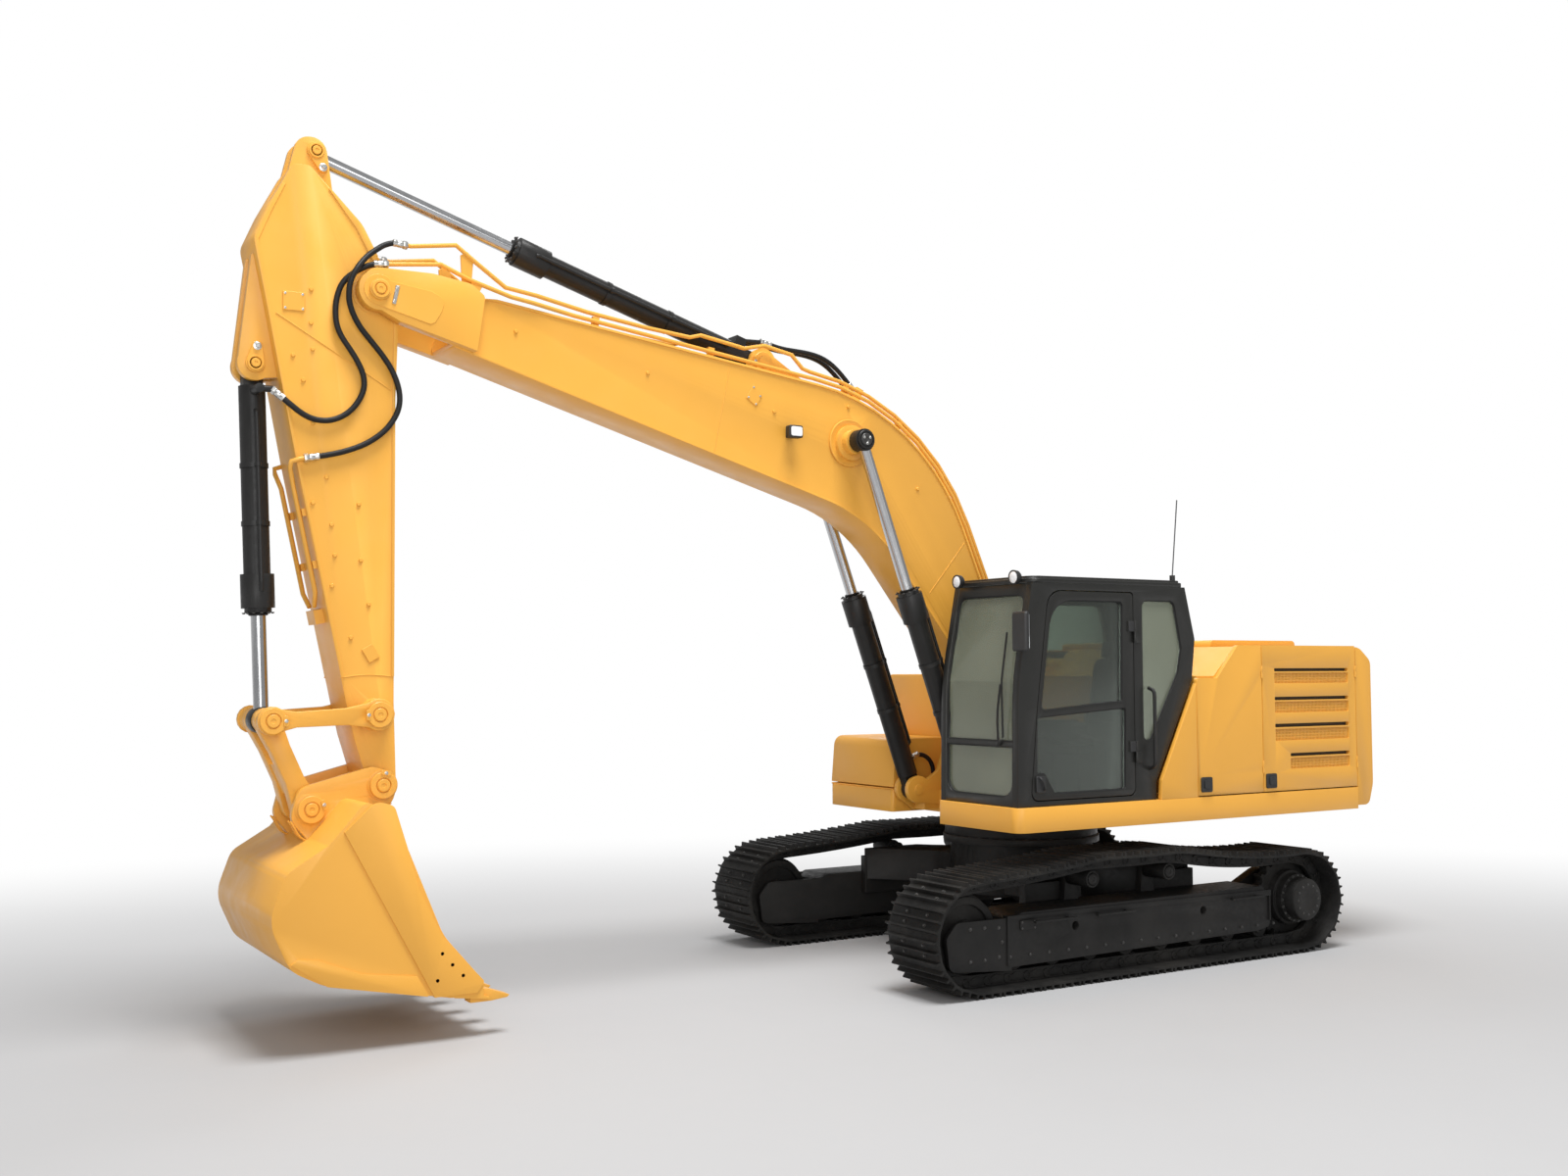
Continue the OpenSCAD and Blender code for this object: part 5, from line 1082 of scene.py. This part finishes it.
def seatDetail():
    # every size is a share of the seat's box
    lo, hi = (toMachine(v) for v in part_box("seat"))
    mid = (lo[1] + hi[1]) / 2
    deep, wide, tall = hi - lo

    def base(rear, front, half, low, high, r):
        half = wide * half
        return roundedBox((lo[0] + deep * rear, mid - half, low), (hi[0] - deep * front, mid + half, high), r)

    def soft(name, x, z, size, crown, lean):
        part = pad((lo[0] + deep * x, mid, lo[2] + tall * z), size, crown, lean)
        return putPiece(name, [part], cloth, "upper_frame", sharp=60)
    legs = [base(0.25, 0.12, 0.30, lo[2] + 2, lo[2] + tall * 0.26, 30),
            base(0.12, 0.04, 0.40, lo[2] + tall * 0.25, lo[2] + tall * 0.31, 18)]
    putPiece("seatBase", legs, plastic, "upper_frame")
    cushion = soft("seatCushion", 0.56, 0.38, (deep * 0.80, wide * 0.82, tall * 0.13), 14, 4)
    back = soft("seatBack", 0.19, 0.64, (tall * 0.50, wide * 0.78, deep * 0.17), 12, 99)
    rest = soft("headRest", 0.11, 0.935, (tall * 0.115, wide * 0.44, deep * 0.12), 8, 99)
    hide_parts("seat")


cabDetail()
seatDetail()
print("cab dressed")


# house: intake fins, door latches, tank caps; a vent is its low and high edge and its front end
ventFacts = {"vents": [(2213, 2345, -1500), (1968, 2108, -1500), (1736, 1885, -1500), (1499, 1637, -1680)],
             "openings": ((0.02, 0.66, True), (0.76, 0.96, False)), "pitch": 17.0, "rows": 5}
# a latch has a frame and a paddle: rear, front, low, high, inner and outer face, corner
latchFacts = {"doors": [("service_door", -735, 1), ("cooling_door", -1490, 1), ("pump_door", -1360, -1)],
              "layers": [(-6, 116, 1352, 1472, 1478, 1493.5, 14), (22, 88, 1380, 1448, 1492, 1501, 16)]}
tankCap = {"shape": [(-4, 95), (10, 95), (16, 88), (16, 60), (34, 58), (40, 50), (40, 6)], "left": 120,
           "ring": 76, "ringUp": 16}


def intakeDetail(facts):
    fins, back = [], []
    for low, high, front in facts["vents"]:
        for a, b, finned in facts["openings"]:
            lo, hi = low + (high - low) * a, low + (high - low) * b
            # dark sheet across each vent opening: painted shade of the inside behind the slot and the fins
            back.append(roundedBox((-2430, 1441, lo - 4), (front + 5, 1446, hi + 4), 4))
            if not finned:
                continue
            points, faces = roundedBox((-4.2, -7, lo - 1), (4.2, 7, hi + 1), 3)
            xs = np.arange(-2418, front - 6, facts["pitch"])
            fins += [(points + np.array([x, 1462, 0]), faces) for x in xs]
            for z in np.linspace(lo, hi, facts["rows"])[1:-1]:
                fins.append(roundedBox((-2424, 1457, z - 3), (front, 1466, z + 3), 2))
    putPiece("intakeFins", fins, yellow, "cooling_door")
    putPiece("ventShadeSheet", back, ventShade, "cooling_door")


def latchDetail(facts):
    for body, x, side in facts["doors"]:
        parts = []
        for rear, front, low, high, inner, outer, r in facts["layers"]:
            lo, hi = sorted((side * inner, side * outer))
            parts.append(roundedBox((x + rear, lo, low), (x + front, hi, high), r))
        putPiece("latch_" + body, parts, plastic, body)


def tankDetail(facts):
    bolts, caps = [], []
    for node in ("hydraulic_tank", "fuel_tank"):
        lo, hi = (toMachine(v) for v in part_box(node))
        x, y = (lo[0] + hi[0]) / 2, (lo[1] + hi[1]) / 2 + facts["left"]
        caps.append(lathe(facts["shape"], (x, y, hi[2]), upward, 40))
        bolts.append(boltCircle(8, 8, facts["ring"], (x, y, hi[2] + facts["ringUp"]), upward))
    putPiece("tankCaps", caps, black, "upper_frame")
    putPiece("tankBolts", bolts, zinc, "upper_frame")


intakeDetail(ventFacts)
latchDetail(latchFacts)
tankDetail(tankCap)
print("house dressed")


# stage: white sky, grey floor that runs out into white, three area lights
stageFacts = {"skyLight": 0.42, "floor": 150, "grey": (0.44, 0.44, 0.445), "greyMiddle": (3.2, 6.0, 0),
              "greyFrom": 7.5, "greyTo": 17.0}
lights = [
    ("keyLight", (4, 6.0, 22), (2.2, 0.5, 1.0), 9, 5300),
    ("fillLight", (10, 14, 5.5), (2.5, 0, 2.2), 10, 820),
    ("rimLight", (-6, -10, 11), (0, 0, 2), 8, 450)]


def setWorld(scene):
    world = bpy.data.worlds.new("studio")
    world.use_nodes = True
    tree = world.node_tree
    sky = tree.nodes["Background"]
    sky.inputs["Color"].default_value = (1, 1, 1, 1)
    # white behind the machine, dimmer as a light so that the lamps model it
    seen = tree.nodes.new("ShaderNodeLightPath")
    level = tree.nodes.new("ShaderNodeMapRange")
    level.inputs["To Min"].default_value = stageFacts["skyLight"]
    level.inputs["To Max"].default_value = 1.0
    wire(tree, (seen.outputs["Is Camera Ray"], level.inputs["Value"]),
         (level.outputs["Result"], sky.inputs["Strength"]))
    scene.world = world


def floorFinish():
    # grey round the machine, running out into plain white far away
    mat = makeFinish("paleFloor", stageFacts["grey"], 0.8, vary=0.006, varyScale=0.3)
    tree = mat.node_tree
    white = tree.nodes.new("ShaderNodeEmission")
    white.inputs["Strength"].default_value = 1.0
    place = tree.nodes.new("ShaderNodeTexCoord")
    far = tree.nodes.new("ShaderNodeVectorMath")
    far.operation = "DISTANCE"
    far.inputs[1].default_value = stageFacts["greyMiddle"]
    fade = tree.nodes.new("ShaderNodeMapRange")
    fade.interpolation_type = "SMOOTHSTEP"
    fade.inputs["From Min"].default_value = stageFacts["greyFrom"]
    fade.inputs["From Max"].default_value = stageFacts["greyTo"]
    mix = tree.nodes.new("ShaderNodeMixShader")
    wire(tree, (place.outputs["Object"], far.inputs[0]), (far.outputs["Value"], fade.inputs["Value"]),
         (fade.outputs["Result"], mix.inputs["Fac"]),
         (tree.nodes["Principled BSDF"].outputs["BSDF"], mix.inputs[1]),
         (white.outputs["Emission"], mix.inputs[2]),
         (mix.outputs["Shader"], tree.nodes["Material Output"].inputs["Surface"]))
    return mat


def setStage():
    scene = bpy.context.scene
    scene.view_settings.view_transform = "Standard"
    setWorld(scene)
    half = stageFacts["floor"]
    mesh = bpy.data.meshes.new("floor")
    corners = [(-half, -half, 0), (half, -half, 0), (half, half, 0), (-half, half, 0)]
    mesh.from_pydata(corners, [], [(0, 1, 2, 3)])
    floor = bpy.data.objects.new("floor", mesh)
    scene.collection.objects.link(floor)
    mesh.materials.append(floorFinish())
    for name, place, aim, size, power in lights:
        data = bpy.data.lights.new(name, "AREA")
        data.size = size
        data.energy = power
        lamp = bpy.data.objects.new(name, data)
        lamp.location = Vector(place) + Vector(shift)
        lamp.rotation_euler = (Vector(aim) - Vector(place)).to_track_quat("-Z", "Y").to_euler()
        scene.collection.objects.link(lamp)


setStage()
print("stage set")
